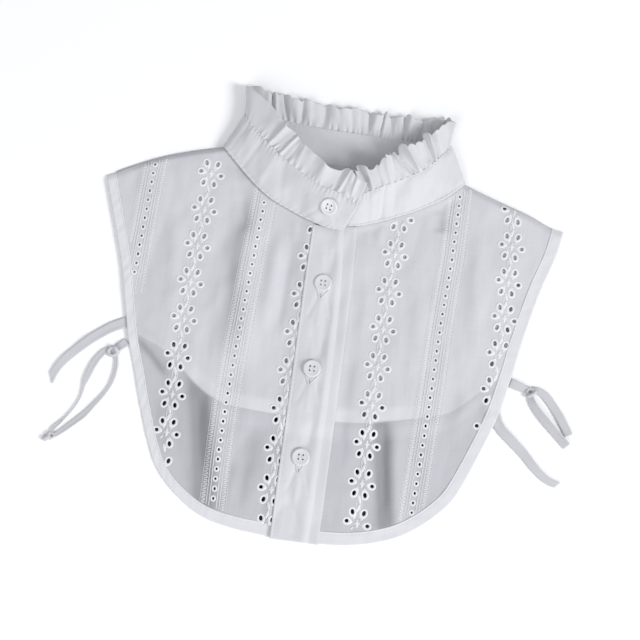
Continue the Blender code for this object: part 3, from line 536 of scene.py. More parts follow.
class HeightMap:
    """The height of the front cloth, kept on a grid and read between its points."""

    def __init__(self, heights, low, high, step):
        self.low, self.step = np.array(low, dtype=float), step
        xs = np.arange(low[0], high[0] + step, step)
        ys = np.arange(low[1], high[1] + step, step)
        grid = np.array(np.meshgrid(xs, ys, indexing="ij")).reshape(2, -1).T
        self.values = heights(grid).reshape(len(xs), len(ys))

    def __call__(self, points):
        place = (points[:, :2] - self.low) / self.step
        limit = np.array(self.values.shape) - 1.001
        place = np.clip(place, 0, limit)
        i, j = np.floor(place).astype(int).T
        u, v = (place - np.column_stack([i, j])).T
        h = self.values
        return ((h[i, j] * (1 - u) + h[i + 1, j] * u) * (1 - v)
                + (h[i, j + 1] * (1 - u) + h[i + 1, j + 1] * u) * v)


front_height = HeightMap(lift, (-176, -252), (176, 42), 0.9)


def link(thing):
    bpy.context.scene.collection.objects.link(thing)


# Camera

def set_camera():
    """Looks along the turned and tipped line at the target, at the stated distance."""
    turned, tipped = CAMERA_TURN, CAMERA_TIP
    right = np.array([math.cos(turned), math.sin(turned), 0.0])
    level = np.array([-math.sin(turned), math.cos(turned), 0.0])
    forward = level * math.sin(tipped) - np.array([0, 0, math.cos(tipped)])
    up = level * math.cos(tipped) + np.array([0, 0, math.sin(tipped)])
    data = bpy.data.cameras.new("camera")
    data.sensor_width = 36.0
    data.lens = data.sensor_width * CAMERA_DISTANCE / CAMERA_WIDTH
    data.clip_start = 0.05
    camera = bpy.data.objects.new("camera", data)
    place = (CAMERA_TARGET - forward * CAMERA_DISTANCE) * MM
    rows = [[right[k], up[k], -forward[k], place[k]] for k in range(3)] + [[0, 0, 0, 1]]
    camera.matrix_world = Matrix(rows)
    link(camera)
    bpy.context.scene.camera = camera


set_camera()


# Materials

def new_material(name, colour, roughness):
    material = bpy.data.materials.new(name)
    material.use_nodes = True
    shader = material.node_tree.nodes["Principled BSDF"]
    shader.inputs["Base Color"].default_value = (*colour, 1.0)
    shader.inputs["Roughness"].default_value = roughness
    return material, material.node_tree, shader


def add_node(tree, kind, **inputs):
    """A node with some of its inputs set, each either a value or an output to link."""
    node = tree.nodes.new(kind)
    for name, value in inputs.items():
        socket = node.inputs[int(name[1:]) if name[1:].isdigit() else name.replace("_", " ")]
        if isinstance(value, bpy.types.NodeSocket):
            tree.links.new(value, socket)
        else:
            socket.default_value = value
    return node


def maths(tree, operation, a, b=0.0):
    node = add_node(tree, "ShaderNodeMath", i0=a, i1=b)
    node.operation = operation
    return node.outputs[0]


def weighted_sum(tree, *parts):
    """The sum of some outputs, each times its own weight."""
    total = 0.0
    for output, weight in parts:
        total = maths(tree, "ADD", maths(tree, "MULTIPLY", output, weight), total)
    return total


def mixed(tree, share, first, second, blend="MIX"):
    """A colour between two, each of them a colour or an output."""
    first, second = ((*c, 1) if isinstance(c, tuple) else c for c in (first, second))
    node = add_node(tree, "ShaderNodeMix", i0=share, i6=first, i7=second)
    node.data_type = "RGBA"
    node.blend_type = blend
    return node.outputs[2]


def object_place(tree):
    return add_node(tree, "ShaderNodeTexCoord").outputs["Object"]


def add_bump(tree, shader, height, strength, distance):
    bump = add_node(tree, "ShaderNodeBump", Height=height, Strength=strength, Distance=distance)
    tree.links.new(bump.outputs[0], shader.inputs["Normal"])


def stretched_noise(tree, place, scale, detail=3.0, rough=0.5):
    """Noise with its own scale along each axis, in cycles per metre."""
    mapped = add_node(tree, "ShaderNodeMapping", Vector=place, Scale=scale)
    noise = add_node(tree, "ShaderNodeTexNoise", Vector=mapped.outputs[0], Scale=1.0,
                     Detail=detail, Roughness=rough)
    return noise.outputs["Fac"]


def thread_waves(tree, place, axis, pitch, wobble):
    """Rows of parallel threads, one wave for each."""
    mapped = add_node(tree, "ShaderNodeMapping", Vector=place, Scale=(1 / pitch,) * 3)
    wave = add_node(tree, "ShaderNodeTexWave", Vector=mapped.outputs[0], Scale=0.314,
                    Distortion=wobble, Detail=1.0, Detail_Scale=0.6)
    wave.bands_direction = axis
    return wave.outputs["Fac"]


def cloth_material(name, colour, shade, pitch=0.00042, weave=0.35, streak=0.05, sheen=0.12,
                   tone=None):
    """Fine woven cotton: crossing threads, slubs along the warp, and uneven brightness."""
    material, tree, shader = new_material(name, colour, 0.88)
    shader.inputs["Sheen Weight"].default_value = sheen
    shader.inputs["Sheen Roughness"].default_value = 0.4
    place = object_place(tree)
    warp = thread_waves(tree, place, "X", pitch, 0.5)
    weft = thread_waves(tree, place, "Y", pitch * 1.1, 0.5)
    slubs = stretched_noise(tree, place, (620, 34, 300), 5.0, 0.62)
    cross_slubs = stretched_noise(tree, place, (34, 540, 300), 4.0, 0.6)
    cloudy = stretched_noise(tree, place, (60, 34, 60), 4.0, 0.6)
    light = weighted_sum(tree, (slubs, 0.45), (cross_slubs, 0.25), (cloudy, 0.30))
    light = maths(tree, "MULTIPLY", maths(tree, "SUBTRACT", light, 0.5), streak * 4)
    out = mixed(tree, maths(tree, "ADD", light, 0.5), shade, colour)
    if tone is not None:
        out = tone(tree, out)
    tree.links.new(out, shader.inputs["Base Color"])
    height = weighted_sum(tree, (warp, weave), (weft, weave), (slubs, 1.2), (cross_slubs, 0.5))
    add_bump(tree, shader, height, 0.5, 0.00007)
    return material


def smooth_step(tree, value, start, end):
    """0 before start and 1 after end, or the other way round where end is the smaller."""
    node = add_node(tree, "ShaderNodeMapRange", i0=value, i1=start, i2=end)
    node.interpolation_type = "SMOOTHSTEP"
    return node.outputs[0]


def read_attribute(tree, name):
    node = add_node(tree, "ShaderNodeAttribute")
    node.attribute_name = name
    return node.outputs["Fac"]


def see_through_and_shade_tone(tree, colour):
    """A single layer is greyer than the double one, the back's hem shows as a light strip, and painted
    shade darkens the folds.
    """
    above = read_attribute(tree, "above_hem")
    dimmed = mixed(tree, 1.0, colour, SINGLE_LAYER, "MULTIPLY")
    greyer = mixed(tree, smooth_step(tree, above, 0.5, -0.5), colour, dimmed)
    strip = maths(tree, "MULTIPLY", smooth_step(tree, above, -0.4, 0.6),
                  smooth_step(tree, above, 12.0, 6.5))
    sideways = add_node(tree, "ShaderNodeSeparateXYZ", Vector=object_place(tree)).outputs[0]
    near_middle = smooth_step(tree, maths(tree, "ABSOLUTE", sideways), 0.100, 0.060)
    strip = maths(tree, "MULTIPLY", strip, near_middle)
    lighter = mixed(tree, maths(tree, "MULTIPLY", strip, HEM_STRENGTH), greyer, HEM_STRIP)
    # Painted shade: the colour is darkened towards a dark tone where the shade attribute marks folds
    return mixed(tree, read_attribute(tree, "shade"), lighter, PAINTED_SHADE_TONE)


def thread_material(name, colour):
    """Embroidery cotton: a soft gloss and fine strands."""
    material, tree, shader = new_material(name, colour, 0.55)
    shader.inputs["Sheen Weight"].default_value = 0.25
    shader.inputs["Sheen Roughness"].default_value = 0.35
    strands = stretched_noise(tree, object_place(tree), (2600, 2600, 2600), 2.0, 0.6)
    add_bump(tree, shader, strands, 0.35, 0.00006)
    shade = tuple(0.93 * c for c in colour)
    tree.links.new(mixed(tree, strands, shade, colour), shader.inputs["Base Color"])
    return material


def button_material():
    """Milky shell-like plastic with faint clouds."""
    material, tree, shader = new_material("button_shell", BUTTON_COLOUR, 0.28)
    shader.inputs["Coat Weight"].default_value = 0.35
    shader.inputs["Coat Roughness"].default_value = 0.15
    clouds = stretched_noise(tree, object_place(tree), (260, 260, 500), 4.0, 0.6)
    shade = mixed(tree, clouds, BUTTON_SHADE, BUTTON_COLOUR)
    tree.links.new(shade, shader.inputs["Base Color"])
    rough = maths(tree, "ADD", maths(tree, "MULTIPLY", clouds, 0.12), 0.22)
    tree.links.new(rough, shader.inputs["Roughness"])
    return material


# The photo is exposed for its white ground, so white cotton reads a little below full white.
# Each cloth has a colour and the darker one that its slubs and clouds fade to.
EYELET_COTTON = (0.640, 0.640, 0.665)
EYELET_SHADE = (0.560, 0.560, 0.588)
SINGLE_LAYER = (0.845, 0.855, 0.860)
HEM_STRIP = (0.690, 0.690, 0.712)
HEM_STRENGTH = 0.70
PLAIN_COTTON = (0.675, 0.675, 0.695)
PLAIN_SHADE = (0.590, 0.590, 0.614)
# Dark tone that painted shade in the front cloth's folds darkens towards
PAINTED_SHADE_TONE = (0.150, 0.152, 0.162)
BINDING_COTTON = (0.735, 0.735, 0.752)
BINDING_SHADE = (0.650, 0.650, 0.672)
TIE_COTTON = (0.600, 0.600, 0.618)
TIE_SHADE = (0.520, 0.520, 0.540)
# Painted shadow: the dark colour of the strip in each buttonhole's slit, where the white cloth under
# it lies in shade
SLIT_SHADOW_COLOUR = (0.36, 0.36, 0.38)
SLIT_SHADOW_DARKER = (0.30, 0.30, 0.32)
EMBROIDERY = (0.770, 0.770, 0.788)
SEWING_COTTON = (0.740, 0.740, 0.760)
BUTTON_COLOUR = (0.700, 0.705, 0.720)
BUTTON_SHADE = (0.640, 0.645, 0.665)

front_material = cloth_material("eyelet_voile", EYELET_COTTON, EYELET_SHADE, 0.00040, 0.35, 0.46,
                                tone=see_through_and_shade_tone)
back_material = cloth_material("back_voile", EYELET_COTTON, EYELET_SHADE, 0.00040, 0.35, 0.10)
plain_material = cloth_material("plain_lawn", PLAIN_COTTON, PLAIN_SHADE, 0.00036, 0.25, 0.24)
binding_material = cloth_material("binding_lawn", BINDING_COTTON, BINDING_SHADE, 0.00036, 0.25, 0.24)
frill_material = cloth_material("frill_lawn", PLAIN_COTTON, PLAIN_SHADE, 0.00034, 0.25, 0.16)
tie_material = cloth_material("tie_lawn", TIE_COTTON, TIE_SHADE, 0.00036, 0.25, 0.14)
slit_shadow_material = cloth_material("slit_painted_shadow", SLIT_SHADOW_COLOUR, SLIT_SHADOW_DARKER)
embroidery_material = thread_material("embroidery_thread", EMBROIDERY)
sewing_material = thread_material("sewing_thread", SEWING_COTTON)
shell_material = button_material()


# Mesh tools

def new_piece(name, points, faces, material):
    mesh = bpy.data.meshes.new(name)
    mesh.from_pydata((np.asarray(points) * MM).tolist(), [], [tuple(f) for f in faces])
    mesh.shade_smooth()
    mesh.materials.append(material)
    piece = bpy.data.objects.new(name, mesh)
    link(piece)
    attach(piece, "root")
    return piece


def lay_sheet(piece, node, flat, rests_on, held="laid", **more):
    """Hides the solid that a piece is shown in place of."""
    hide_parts(node)


def grid_faces(rows, columns, start=0, flip=False, closed=False, looped=False):
    """Quads over a grid of points; closed and looped join its columns and its rows round."""
    index = np.arange(rows * columns).reshape(rows, columns) + start
    if looped:
        index = np.vstack([index, index[:1]])
    if closed:
        index = np.hstack([index, index[:, :1]])
    quads = np.stack([index[:-1, :-1], index[:-1, 1:], index[1:, 1:], index[1:, :-1]], -1)
    quads = quads.reshape(-1, 4)
    return quads[:, ::-1] if flip else quads


def surface_normals(mid):
    return unit(np.cross(np.gradient(mid, axis=1), np.gradient(mid, axis=0)))


def folded(mid, thickness):
    """A closed strip of doubled cloth round a middle surface of rows by columns."""
    rows, columns = mid.shape[:2]
    half = surface_normals(mid) * (np.broadcast_to(thickness, (rows, columns))[:, :, None] / 2)
    points = np.vstack([(mid + half).reshape(-1, 3), (mid - half).reshape(-1, 3)])
    below = rows * columns
    index = np.arange(below).reshape(rows, columns)
    faces = [grid_faces(rows, columns), grid_faces(rows, columns, below, flip=True)]
    for line, flip in ((index[0], False), (index[-1], True), (index[:, 0], True),
                       (index[:, -1], False)):
        quads = np.stack([line[:-1] + below, line[1:] + below, line[1:], line[:-1]], -1)
        faces.append(quads[:, ::-1] if flip else quads)
    return points, np.vstack(faces)


def rounding(distance, reach, least=0.2):
    """Share of the full thickness at a distance from a folded edge."""
    t = np.clip(distance / reach, 0, 1)
    return np.maximum(np.sqrt(1 - (1 - t) ** 2), least)


def spread(total, edge_steps, middle_step):
    """Places across a width: close together at both edges, even between them."""
    edge = np.cumsum([0.0, *edge_steps])
    middle = np.linspace(edge[-1], total - edge[-1],
                         max(2, round((total - 2 * edge[-1]) / middle_step) + 1))
    return np.concatenate([edge[:-1], middle, (total - edge[:-1])[::-1]])


EDGE_STEPS = (0.12, 0.22, 0.3, 0.4, 0.4, 0.4, 0.5)
END_STEPS = (0.15, 0.3, 0.5)
STITCH_RADIUS = 0.17
STITCH_GAP = 0.7
# A stitch on lying and on standing cloth: length, places along it, and the rise at each
LYING_STITCH = (2.3, (0, 0.18, 0.5, 0.82, 1), (-0.21, 0.011, 0.062, 0.011, -0.21))
STANDING_STITCH = (2.2, (0, 1 / 3, 2 / 3, 1), (0, 0, 0, 0))


def around(centre, along, radius, sides, flatten=1.0):
    """A ring of points round each point of a line in space."""
    beside = unit(np.cross(along, (0.0, 0.0, 1.0)))
    above = np.cross(beside, along) * flatten
    turn = 2 * np.pi * np.arange(sides) / sides
    ring = (np.cos(turn)[None, :, None] * beside[:, None, :]
            + np.sin(turn)[None, :, None] * above[:, None, :])
    return centre[:, None, :] + ring * radius[:, None, None]


class Threads:
    """Many small raised stitches gathered in one mesh."""

    def __init__(self):
        self.points, self.faces, self.count = [], [], 0

    def add(self, points, faces):
        self.points.append(points)
        self.faces.append(np.asarray(faces) + self.count)
        self.count += len(points)

    def piece(self, name, material, slot):
        faces = [face for block in self.faces for face in block.tolist()]
        return new_piece(name, np.vstack(self.points), drop_double_corners(faces), material)

    def rings(self, rings):
        """A skin over rings of equal length, closed at both ends by a fan of faces."""
        rings = np.asarray(rings)
        levels, sides = rings.shape[:2]
        ends = np.array([rings[0].mean(0), rings[-1].mean(0)])
        points = np.vstack([rings.reshape(-1, 3), ends])
        faces = [tuple(q) for q in grid_faces(levels, sides, closed=True)]
        last = (levels - 1) * sides
        for k in range(sides):
            after = (k + 1) % sides
            faces.append((levels * sides, after, k, k))
            faces.append((levels * sides + 1, last + k, last + after, last + after))
        self.add(points, np.array(faces))

    def tube(self, path, radius, sides=5, taper=True):
        """A thread along a path in space."""
        path = np.asarray(path, dtype=float)
        size = np.full(len(path), float(radius))
        if taper:
            size[[0, -1]] *= 0.35
        self.rings(around(path, unit(np.gradient(path, axis=0)), size, sides))

    def loop(self, centre, radius, sides=12, flatten=0.9):
        """A soft roll along a closed loop in space, with a radius for each of its points."""
        along = unit(np.roll(centre, -1, 0) - np.roll(centre, 1, 0))
        rings = around(centre, along, radius, sides, flatten)
        self.add(rings.reshape(-1, 3), grid_faces(len(centre), sides, closed=True, looped=True))

    def stitches(self, path, kind=LYING_STITCH):
        """A row of machine stitches along a path in space."""
        length, shares, rises = kind
        for start in np.arange(STITCH_GAP, run_of(path)[-1] - length, length + STITCH_GAP):
            line = along_path(path, start + np.array(shares) * length)
            line[:, 2] += rises
            self.tube(line, STITCH_RADIUS, 4)


def drop_double_corners(faces):
    """Triangles that were written as quads with a repeated corner."""
    return [tuple(dict.fromkeys(face)) for face in faces]


# Fronts and back

FRONT_TOP = 0.95
SHELL = 0.42
PANEL_STEP = 1.7
PETAL_SIDES = 16
LADDER_SIDES = 12
LARGEST_HOLE = 4.0


def turned(x, y, across, up, lean):
    """Flat points given across and up from a middle, turned by a lean in degrees round it."""
    turn = math.radians(lean)
    return np.column_stack([x + across * math.cos(turn) - up * math.sin(turn),
                            y + across * math.sin(turn) + up * math.cos(turn)])


def ellipse(x, y, half_width, half_length, lean, sides, grow=0.0):
    angle = 2 * np.pi * (np.arange(sides) + 0.5) / sides
    return turned(x, y, (half_width + grow) * np.sin(angle), (half_length + grow) * np.cos(angle),
                  lean)


def flower_places():
    """The middle of each flower, and the number of its column."""
    for column, (x_top, y_top, x_bottom, y_bottom, flowers, bend) in enumerate(FLOWER_COLUMNS):
        for share in np.linspace(0, 1, flowers):
            x = x_top + (x_bottom - x_top) * share + bend * math.sin(math.pi * share)
            y = y_top + (y_bottom - y_top) * share
            yield x, y, column


def petals_in(outline, margin):
    """Each petal eyelet that fits in an outline, and the middle of its flower."""
    closed = closed_ring(outline)
    for x, y, _ in flower_places():
        for across, up, half_width, half_length, lean in PETALS:
            centre = np.array([[x + across, y + up]])
            room = distance_to(closed, centre)[0]
            if inside(outline, centre)[0] and room > half_length + margin:
                yield (*centre[0], half_width, half_length, lean), (x, y)


def ladder_eyelets(outline, margin):
    closed = closed_ring(outline)
    for number, ladder in enumerate(LADDERS):
        path = evenly(smooth_path(ladder), LADDER_PITCH)
        for k, (x, y) in enumerate(path):
            centre = np.array([[x, y]])
            if not inside(outline, centre)[0] or distance_to(closed, centre)[0] < margin:
                continue
            sway = 0.12 * math.sin(2.3 * k + number)
            yield x + sway, y, LADDER_HOLE[0], LADDER_HOLE[1] + 0.12 * math.cos(1.7 * k), 8.0


def panel_grid(outline, holes, step):
    """Points in staggered rows that fill an outline and keep clear of its edge and holes."""
    low, high = outline.min(0), outline.max(0)
    columns = np.arange(low[0] + step / 2, high[0], step)
    rows = np.arange(low[1] + step / 2, high[1], step * 0.87)
    grid = np.array([(x + (step / 2 if j % 2 else 0), y)
                     for j, y in enumerate(rows) for x in columns])
    grid = grid[inside(outline, grid)]
    grid = grid[distance_to(closed_ring(outline), grid) > step * 0.45]
    for hole in holes:
        middle = hole.mean(0)
        reach = np.linalg.norm(hole - middle, axis=1).max() + step * 0.35
        grid = grid[np.linalg.norm(grid - middle, axis=1) > reach]
    return grid


def cut_flat(outline, holes, step):
    """Flat points and triangles of a panel with its holes cut out."""
    points, edges = [], []
    for ring in [outline, *holes]:
        start = len(points)
        points += [tuple(p) for p in ring]
        edges += [(start + i, start + (i + 1) % len(ring)) for i in range(len(ring))]
    points += [tuple(p) for p in panel_grid(outline, holes, step)]
    placed, _, faces, _, _, _ = delaunay_2d_cdt([Vector(p) for p in points], edges, [], 0, 1e-5)
    placed = np.array([tuple(v) for v in placed])
    faces = np.array(faces)
    middles = placed[faces].mean(1)
    keep = inside(outline, middles)
    for hole in holes:
        near = np.linalg.norm(middles - hole.mean(0), axis=1) < LARGEST_HOLE
        near[near] = inside(hole, middles[near])
        keep &= ~near
    faces = faces[keep]
    used = np.unique(faces)
    number = np.zeros(len(placed), dtype=int)
    number[used] = np.arange(len(used))
    return placed[used], number[faces]


def cloth_panel(node, outline, holes, height, thickness, step, material, flat, area, under):
    """A flat-cut panel with holes, raised onto a height function, as a thin wall."""
    placed, faces = cut_flat(outline, holes, step)
    piece = new_piece(f"{node}_cloth", np.column_stack([placed, height(placed)]), faces,
                      material)
    if piece.data.polygons[0].normal.z < 0:
        piece.data.flip_normals()
    # Each point keeps its distance above the back's hem and its share of painted shade
    for name, values in (("above_hem", above_back_hem(placed)), ("shade", painted_shade_at(placed))):
        attribute = piece.data.attributes.new(name, "FLOAT", "POINT")
        attribute.data.foreach_set("value", values.astype(np.float32))
    wall = piece.modifiers.new("wall", "SOLIDIFY")
    wall.thickness = thickness * MM
    wall.offset = -1
    lay_sheet(piece, node, flat, under, area=area)


def above_back_hem(points):
    """Distance above the lower edge of the back, less than 0 below it."""
    distance = distance_to(back_hem, points)
    return np.where(points[:, 1] > back_hem_height(points[:, 0]), distance, -distance)


def painted_shade_at(points):
    """How far painted shade darkens the cloth at flat points, from 0 to 1."""
    light = np.ones(len(points))
    for route, width, strength in SHADE_BANDS:
        light *= 1 - strength * ridge(route, points, width)
    single = eased(0.5 - above_back_hem(points) / 3)
    for route, width, strength in SINGLE_LAYER_SHADE_BANDS:
        light *= 1 - strength * ridge(route, points, width) * single
    return 1 - np.maximum(light, SHADE_FLOOR)


# The cloth rises towards the neck seam and the top placket: how far, and over what distance
NECK_PULL = (0.5, 2.2)
PLACKET_RISE = (1.25, 9.0)
# It comes down again under the placket: how far inside its edge, and over what distance
PLACKET_TUCK = (1.6, 1.8)


def front_top(points):
    """The upper face of the front cloth, pulled up at the neck seam and beside the placket."""
    beside = np.interp(points[:, 1], top_left[::-1, 1], top_left[::-1, 0]) - points[:, 0]
    held_up = eased(1 - beside / PLACKET_RISE[1]) * eased((beside + PLACKET_TUCK[0]) / PLACKET_TUCK[1])
    pulled_up = NECK_PULL[0] * bell(to_neck_seam(points), NECK_PULL[1])
    return front_height(points) + FRONT_TOP + pulled_up + PLACKET_RISE[0] * held_up


# Width of each front's binding from the shoulder to the hem, as it shows
BINDING_WIDTHS = {1: [(0.0, 7.4), (0.25, 6.8), (0.72, 6.7), (0.84, 8.4), (1.0, 9.6)],
                  -1: [(0.0, 8.6), (0.5, 8.4), (1.0, 9.2)]}
BINDING_TUCK = 0.9


def binding_inner(edge, side, less=0.0):
    """The inner edge of a front's binding, or a line nearer to its outer edge."""
    run = run_of(edge)
    width = np.interp(run / run[-1], *np.array(BINDING_WIDTHS[side]).T)
    return shifted(edge, side * (width - less)[:, None])


def front_cut(edge, shoulder, seam, inner_line, side):
    """The flat outline of one front, tucked in under its binding, band and placket."""
    bound = binding_inner(edge, side, BINDING_TUCK)
    bound = evenly(up_to_line(bound, inner_line, side), PANEL_STEP)
    top = evenly(shoulder, PANEL_STEP)
    top = top[np.abs(top[:, 0]) < np.abs(bound[0, 0]) - 1]
    from_corner = seam[np.argsort(-np.abs(seam[:, 0]))]
    from_corner = shifted(from_corner, side * 1.4)
    neck = evenly(up_to_line(from_corner, inner_line, side), PANEL_STEP)[::-1]
    inner = evenly(inner_line, PANEL_STEP)[::-1]
    inner = inner[(inner[:, 1] > bound[-1, 1] + 1) & (inner[:, 1] < neck[0, 1] - 1)]
    return np.vstack([top, bound, inner, neck])


left_end = np.array(LEFT_FRONT_END, dtype=float)
top_left = smooth_path(TOP_PLACKET_LEFT)
under_right = smooth_path(UNDER_PLACKET_RIGHT)
fronts = {
    "front_left": (left_edge, left_shoulder, front_left_seam, left_end, 1,
                   (0.172, 0.290), 0.0345),
    "front_right": (right_edge, right_shoulder, front_right_seam,
                    extended(under_right - (1.2, 0)), -1, (0.162, 0.285), 0.0318),
}


# Shapes of the satin stitch: outwards and up as shares of its width and rise, and for a padded
# patch the size of each level and its height
SATIN_PROFILE = ((-0.20, -0.55), (-0.24, 0.05), (0.06, 0.75), (0.46, 1.0), (0.82, 0.7),
                 (1.06, -0.25))
PATCH_LEVELS = ((1.0, -0.25), (0.92, 0.55), (0.62, 0.92), (0.3, 1.0))
PETAL_POINT = 1.1


def satin_ring(threads, x, y, half_width, half_length, lean, width, rise, strands, point_to=None):
    """Raised stitches packed round an eyelet, from inside the hole out onto the cloth.

    Where point_to is given, the stitches reach further on that side, as on a petal.
    """
    rings = []
    pull = np.where(np.arange(strands * 2) % 2, 1.0, 0.80)
    for out, up in SATIN_PROFILE:
        flat = ellipse(x, y, half_width, half_length, lean, strands * 2, out * width)
        if point_to is not None:
            away, aim = flat - (x, y), np.array(point_to) - (x, y)
            facing = (away @ aim) / np.linalg.norm(away, axis=1) / np.linalg.norm(aim)
            reach = PETAL_POINT * max(out, 0) * np.clip(facing, 0, 1) ** 4
            flat = flat + reach[:, None] * aim / np.linalg.norm(aim)
        base = front_top(flat)
        rings.append(np.column_stack([flat, base + up * rise * pull]))
    rings = np.array(rings)
    threads.add(rings.reshape(-1, 3),
                grid_faces(len(SATIN_PROFILE), strands * 2, closed=True, flip=True))


def satin_patch(threads, ring, rise, ribs=0.8):
    """A padded patch of satin stitch over a closed flat outline."""
    middle = ring.mean(0)
    pull = np.where(np.arange(len(ring)) % 2, 1.0, ribs)
    levels = []
    for size, up in PATCH_LEVELS:
        flat = middle + (ring - middle) * size
        levels.append(np.column_stack([flat, front_top(flat) + up * rise * pull]))
    levels = np.array(levels)
    crown = np.append(middle, front_top(middle[None])[0] + rise)
    count, height = len(ring), len(PATCH_LEVELS)
    faces = grid_faces(height, count, closed=True, flip=True).tolist()
    last, tip = (height - 1) * count, height * count
    faces += [(last + (k + 1) % count, last + k, tip, tip) for k in range(count)]
    threads.add(np.vstack([levels.reshape(-1, 3), crown]), np.array(faces))


def blob(x, y, radii, lean, count=26):
    """A closed outline whose radius is read from a few values spaced round it."""
    angle = 2 * np.pi * np.arange(count) / count
    knots = np.linspace(0, 2 * np.pi, len(radii) + 1)
    radius = np.interp(angle, knots, [*radii, radii[0]])
    return turned(x, y, radius * np.sin(-angle), radius * np.cos(angle), lean)


def laid_path(flat, above):
    return np.column_stack([flat, front_top(flat) + above])


# Least room between each kind of work and the edge of the front
PETAL_MARGIN = 0.55
LADDER_MARGIN = 2.2
PATCH_MARGIN = 2.4
STEM_MARGIN = 1.5
ROW_MARGIN = 1.3
# Satin stitch round the eyelets: width, rise and number of strands
PETAL_SATIN = (1.35, 0.46, 15)
LADDER_SATIN = (1.05, 0.36, 11)
PATCH_RISE = 0.46
# Two stems run from this share of the way to the next flower, swaying apart in the middle
STEM_START = 0.2
STEM_SWAY = (0.9, 1.1)
STEM_RADIUS = 0.26
# Outlines of the padded patches, as radii at even turns from the top
FLOWER_HEART = (3.4, 1.5, 1.3, 2.3, 1.2, 1.5, 3.5, 1.5, 1.2, 2.3, 1.3, 1.5)
LEAF = (3.4, 1.25, 1.45, 1.2, 3.4, 1.2, 1.45, 1.25)
SPRIG = (1.5, 0.62, 0.62, 1.5, 0.62, 0.62)
# Places of the small sprigs round a flower's middle and of the leaves below it, with their lean
SPRIGS = ((-2.9, 3.9, 38), (3.0, 3.5, -38), (-3.1, -3.6, -40), (2.9, -3.9, 40))
LEAF_PLACES = ((0.40, 16), (0.61, -16))


def embroider_flowers(threads, outline, lean):
    closed = closed_ring(outline)
    for hole, heart in petals_in(outline, PETAL_MARGIN):
        satin_ring(threads, *hole, *PETAL_SATIN, heart)
    places = list(flower_places())
    for (x, y, column), (next_x, next_y, next_column) in zip(places, places[1:] + places[:1]):
        spots = [(x + 0.2, y, lean, FLOWER_HEART)]
        spots += [(x + side_x, y + side_y, turn + lean, SPRIG) for side_x, side_y, turn in SPRIGS]
        step_x, step_y = next_x - x, next_y - y
        if column == next_column:
            spots += [(x + step_x * share, y + step_y * share, lean + turn, LEAF)
                      for share, turn in LEAF_PLACES]
        for spot_x, spot_y, turn, shape in spots:
            centre = np.array([[spot_x, spot_y]])
            if inside(outline, centre)[0] and distance_to(closed, centre)[0] > PATCH_MARGIN:
                satin_patch(threads, blob(spot_x, spot_y, shape, turn), PATCH_RISE)
        for sway in (-1, 1) if column == next_column else ():
            t = np.linspace(0, 1, 12)
            share = STEM_START + (1 - 2 * STEM_START) * t
            swing = sway * (STEM_SWAY[0] + STEM_SWAY[1] * np.sin(np.pi * t) ** 2)
            stem = np.column_stack([x + step_x * share + swing, y + step_y * share])
            if inside(outline, stem).all() and distance_to(closed, stem).min() > STEM_MARGIN:
                threads.tube(laid_path(stem, 0.08), STEM_RADIUS)


def offset_rows(path, distance, outline, margin):
    """Runs of a path moved sideways that stay well inside an outline."""
    moved = shifted(path, distance)
    fits = inside(outline, moved) & (distance_to(closed_ring(outline), moved) > margin)
    changes = np.flatnonzero(np.diff(fits)) + 1
    runs = np.split(np.arange(len(moved)), changes)
    return [moved[run] for run in runs if fits[run[0]] and len(run) > 4]


# Rails beside a ladder, as distance from its middle, radius and sway, and the rungs between
RAILS = ((2.75, 0.30, 0.0), (4.75, 0.26, 0.10), (9.3, 0.16, 0.16))
RUNG_REACH = (5.7, 8.7)
RUNG_PITCH = 1.30
RUNG_TILT = 0.35
RUNG_RADIUS = 0.36


def embroider_ladders(threads, outline):
    for hole in ladder_eyelets(outline, LADDER_MARGIN):
        satin_ring(threads, *hole, *LADDER_SATIN)
    for number, ladder in enumerate(LADDERS):
        fine = evenly(smooth_path(ladder), 0.9)
        for side in (-1, 1):
            for offset, radius, sway in RAILS:
                for run in offset_rows(fine, side * offset, outline, ROW_MARGIN):
                    beads = run_of(run)
                    path = laid_path(run, 0.06 + 0.4 * radius * np.cos(2 * np.pi * beads / 1.9))
                    path[:, 0] += sway * np.sin(2 * np.pi * beads / 3.1 + number)
                    threads.tube(path, radius)
            inner, outer = (shifted(fine, side * reach) for reach in RUNG_REACH)
            rows = evenly(np.hstack([inner, outer]), RUNG_PITCH * 1.414)
            for k, row in enumerate(rows):
                tilt = np.array((0, RUNG_TILT if k % 2 else -RUNG_TILT))
                start, end = row[:2] + tilt, row[2:] - tilt
                flat = start + (end - start) * np.linspace(0, 1, 5)[:, None]
                room = distance_to(closed_ring(outline), flat).min()
                if inside(outline, flat).all() and room > ROW_MARGIN:
                    threads.tube(laid_path(flat, -0.04), RUNG_RADIUS)


COLUMN_LEAN = 1.0
for name, (edge, shoulder, seam, inner_line, side, flat, area) in fronts.items():
    outline = front_cut(edge, shoulder, seam, inner_line, side)
    holes = [ellipse(*hole, PETAL_SIDES) for hole, _ in petals_in(outline, PETAL_MARGIN)]
    holes += [ellipse(*hole, LADDER_SIDES) for hole in ladder_eyelets(outline, LADDER_MARGIN)]
    cloth_panel(name, outline, holes, front_top, SHELL, PANEL_STEP, front_material, flat, area,
                ["back_cloth"])
    threads = Threads()
    embroider_flowers(threads, outline, COLUMN_LEAN)
    embroider_ladders(threads, outline)
    work = threads.piece(f"{name}_embroidery", embroidery_material, "eyelet_cotton")
    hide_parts(name)


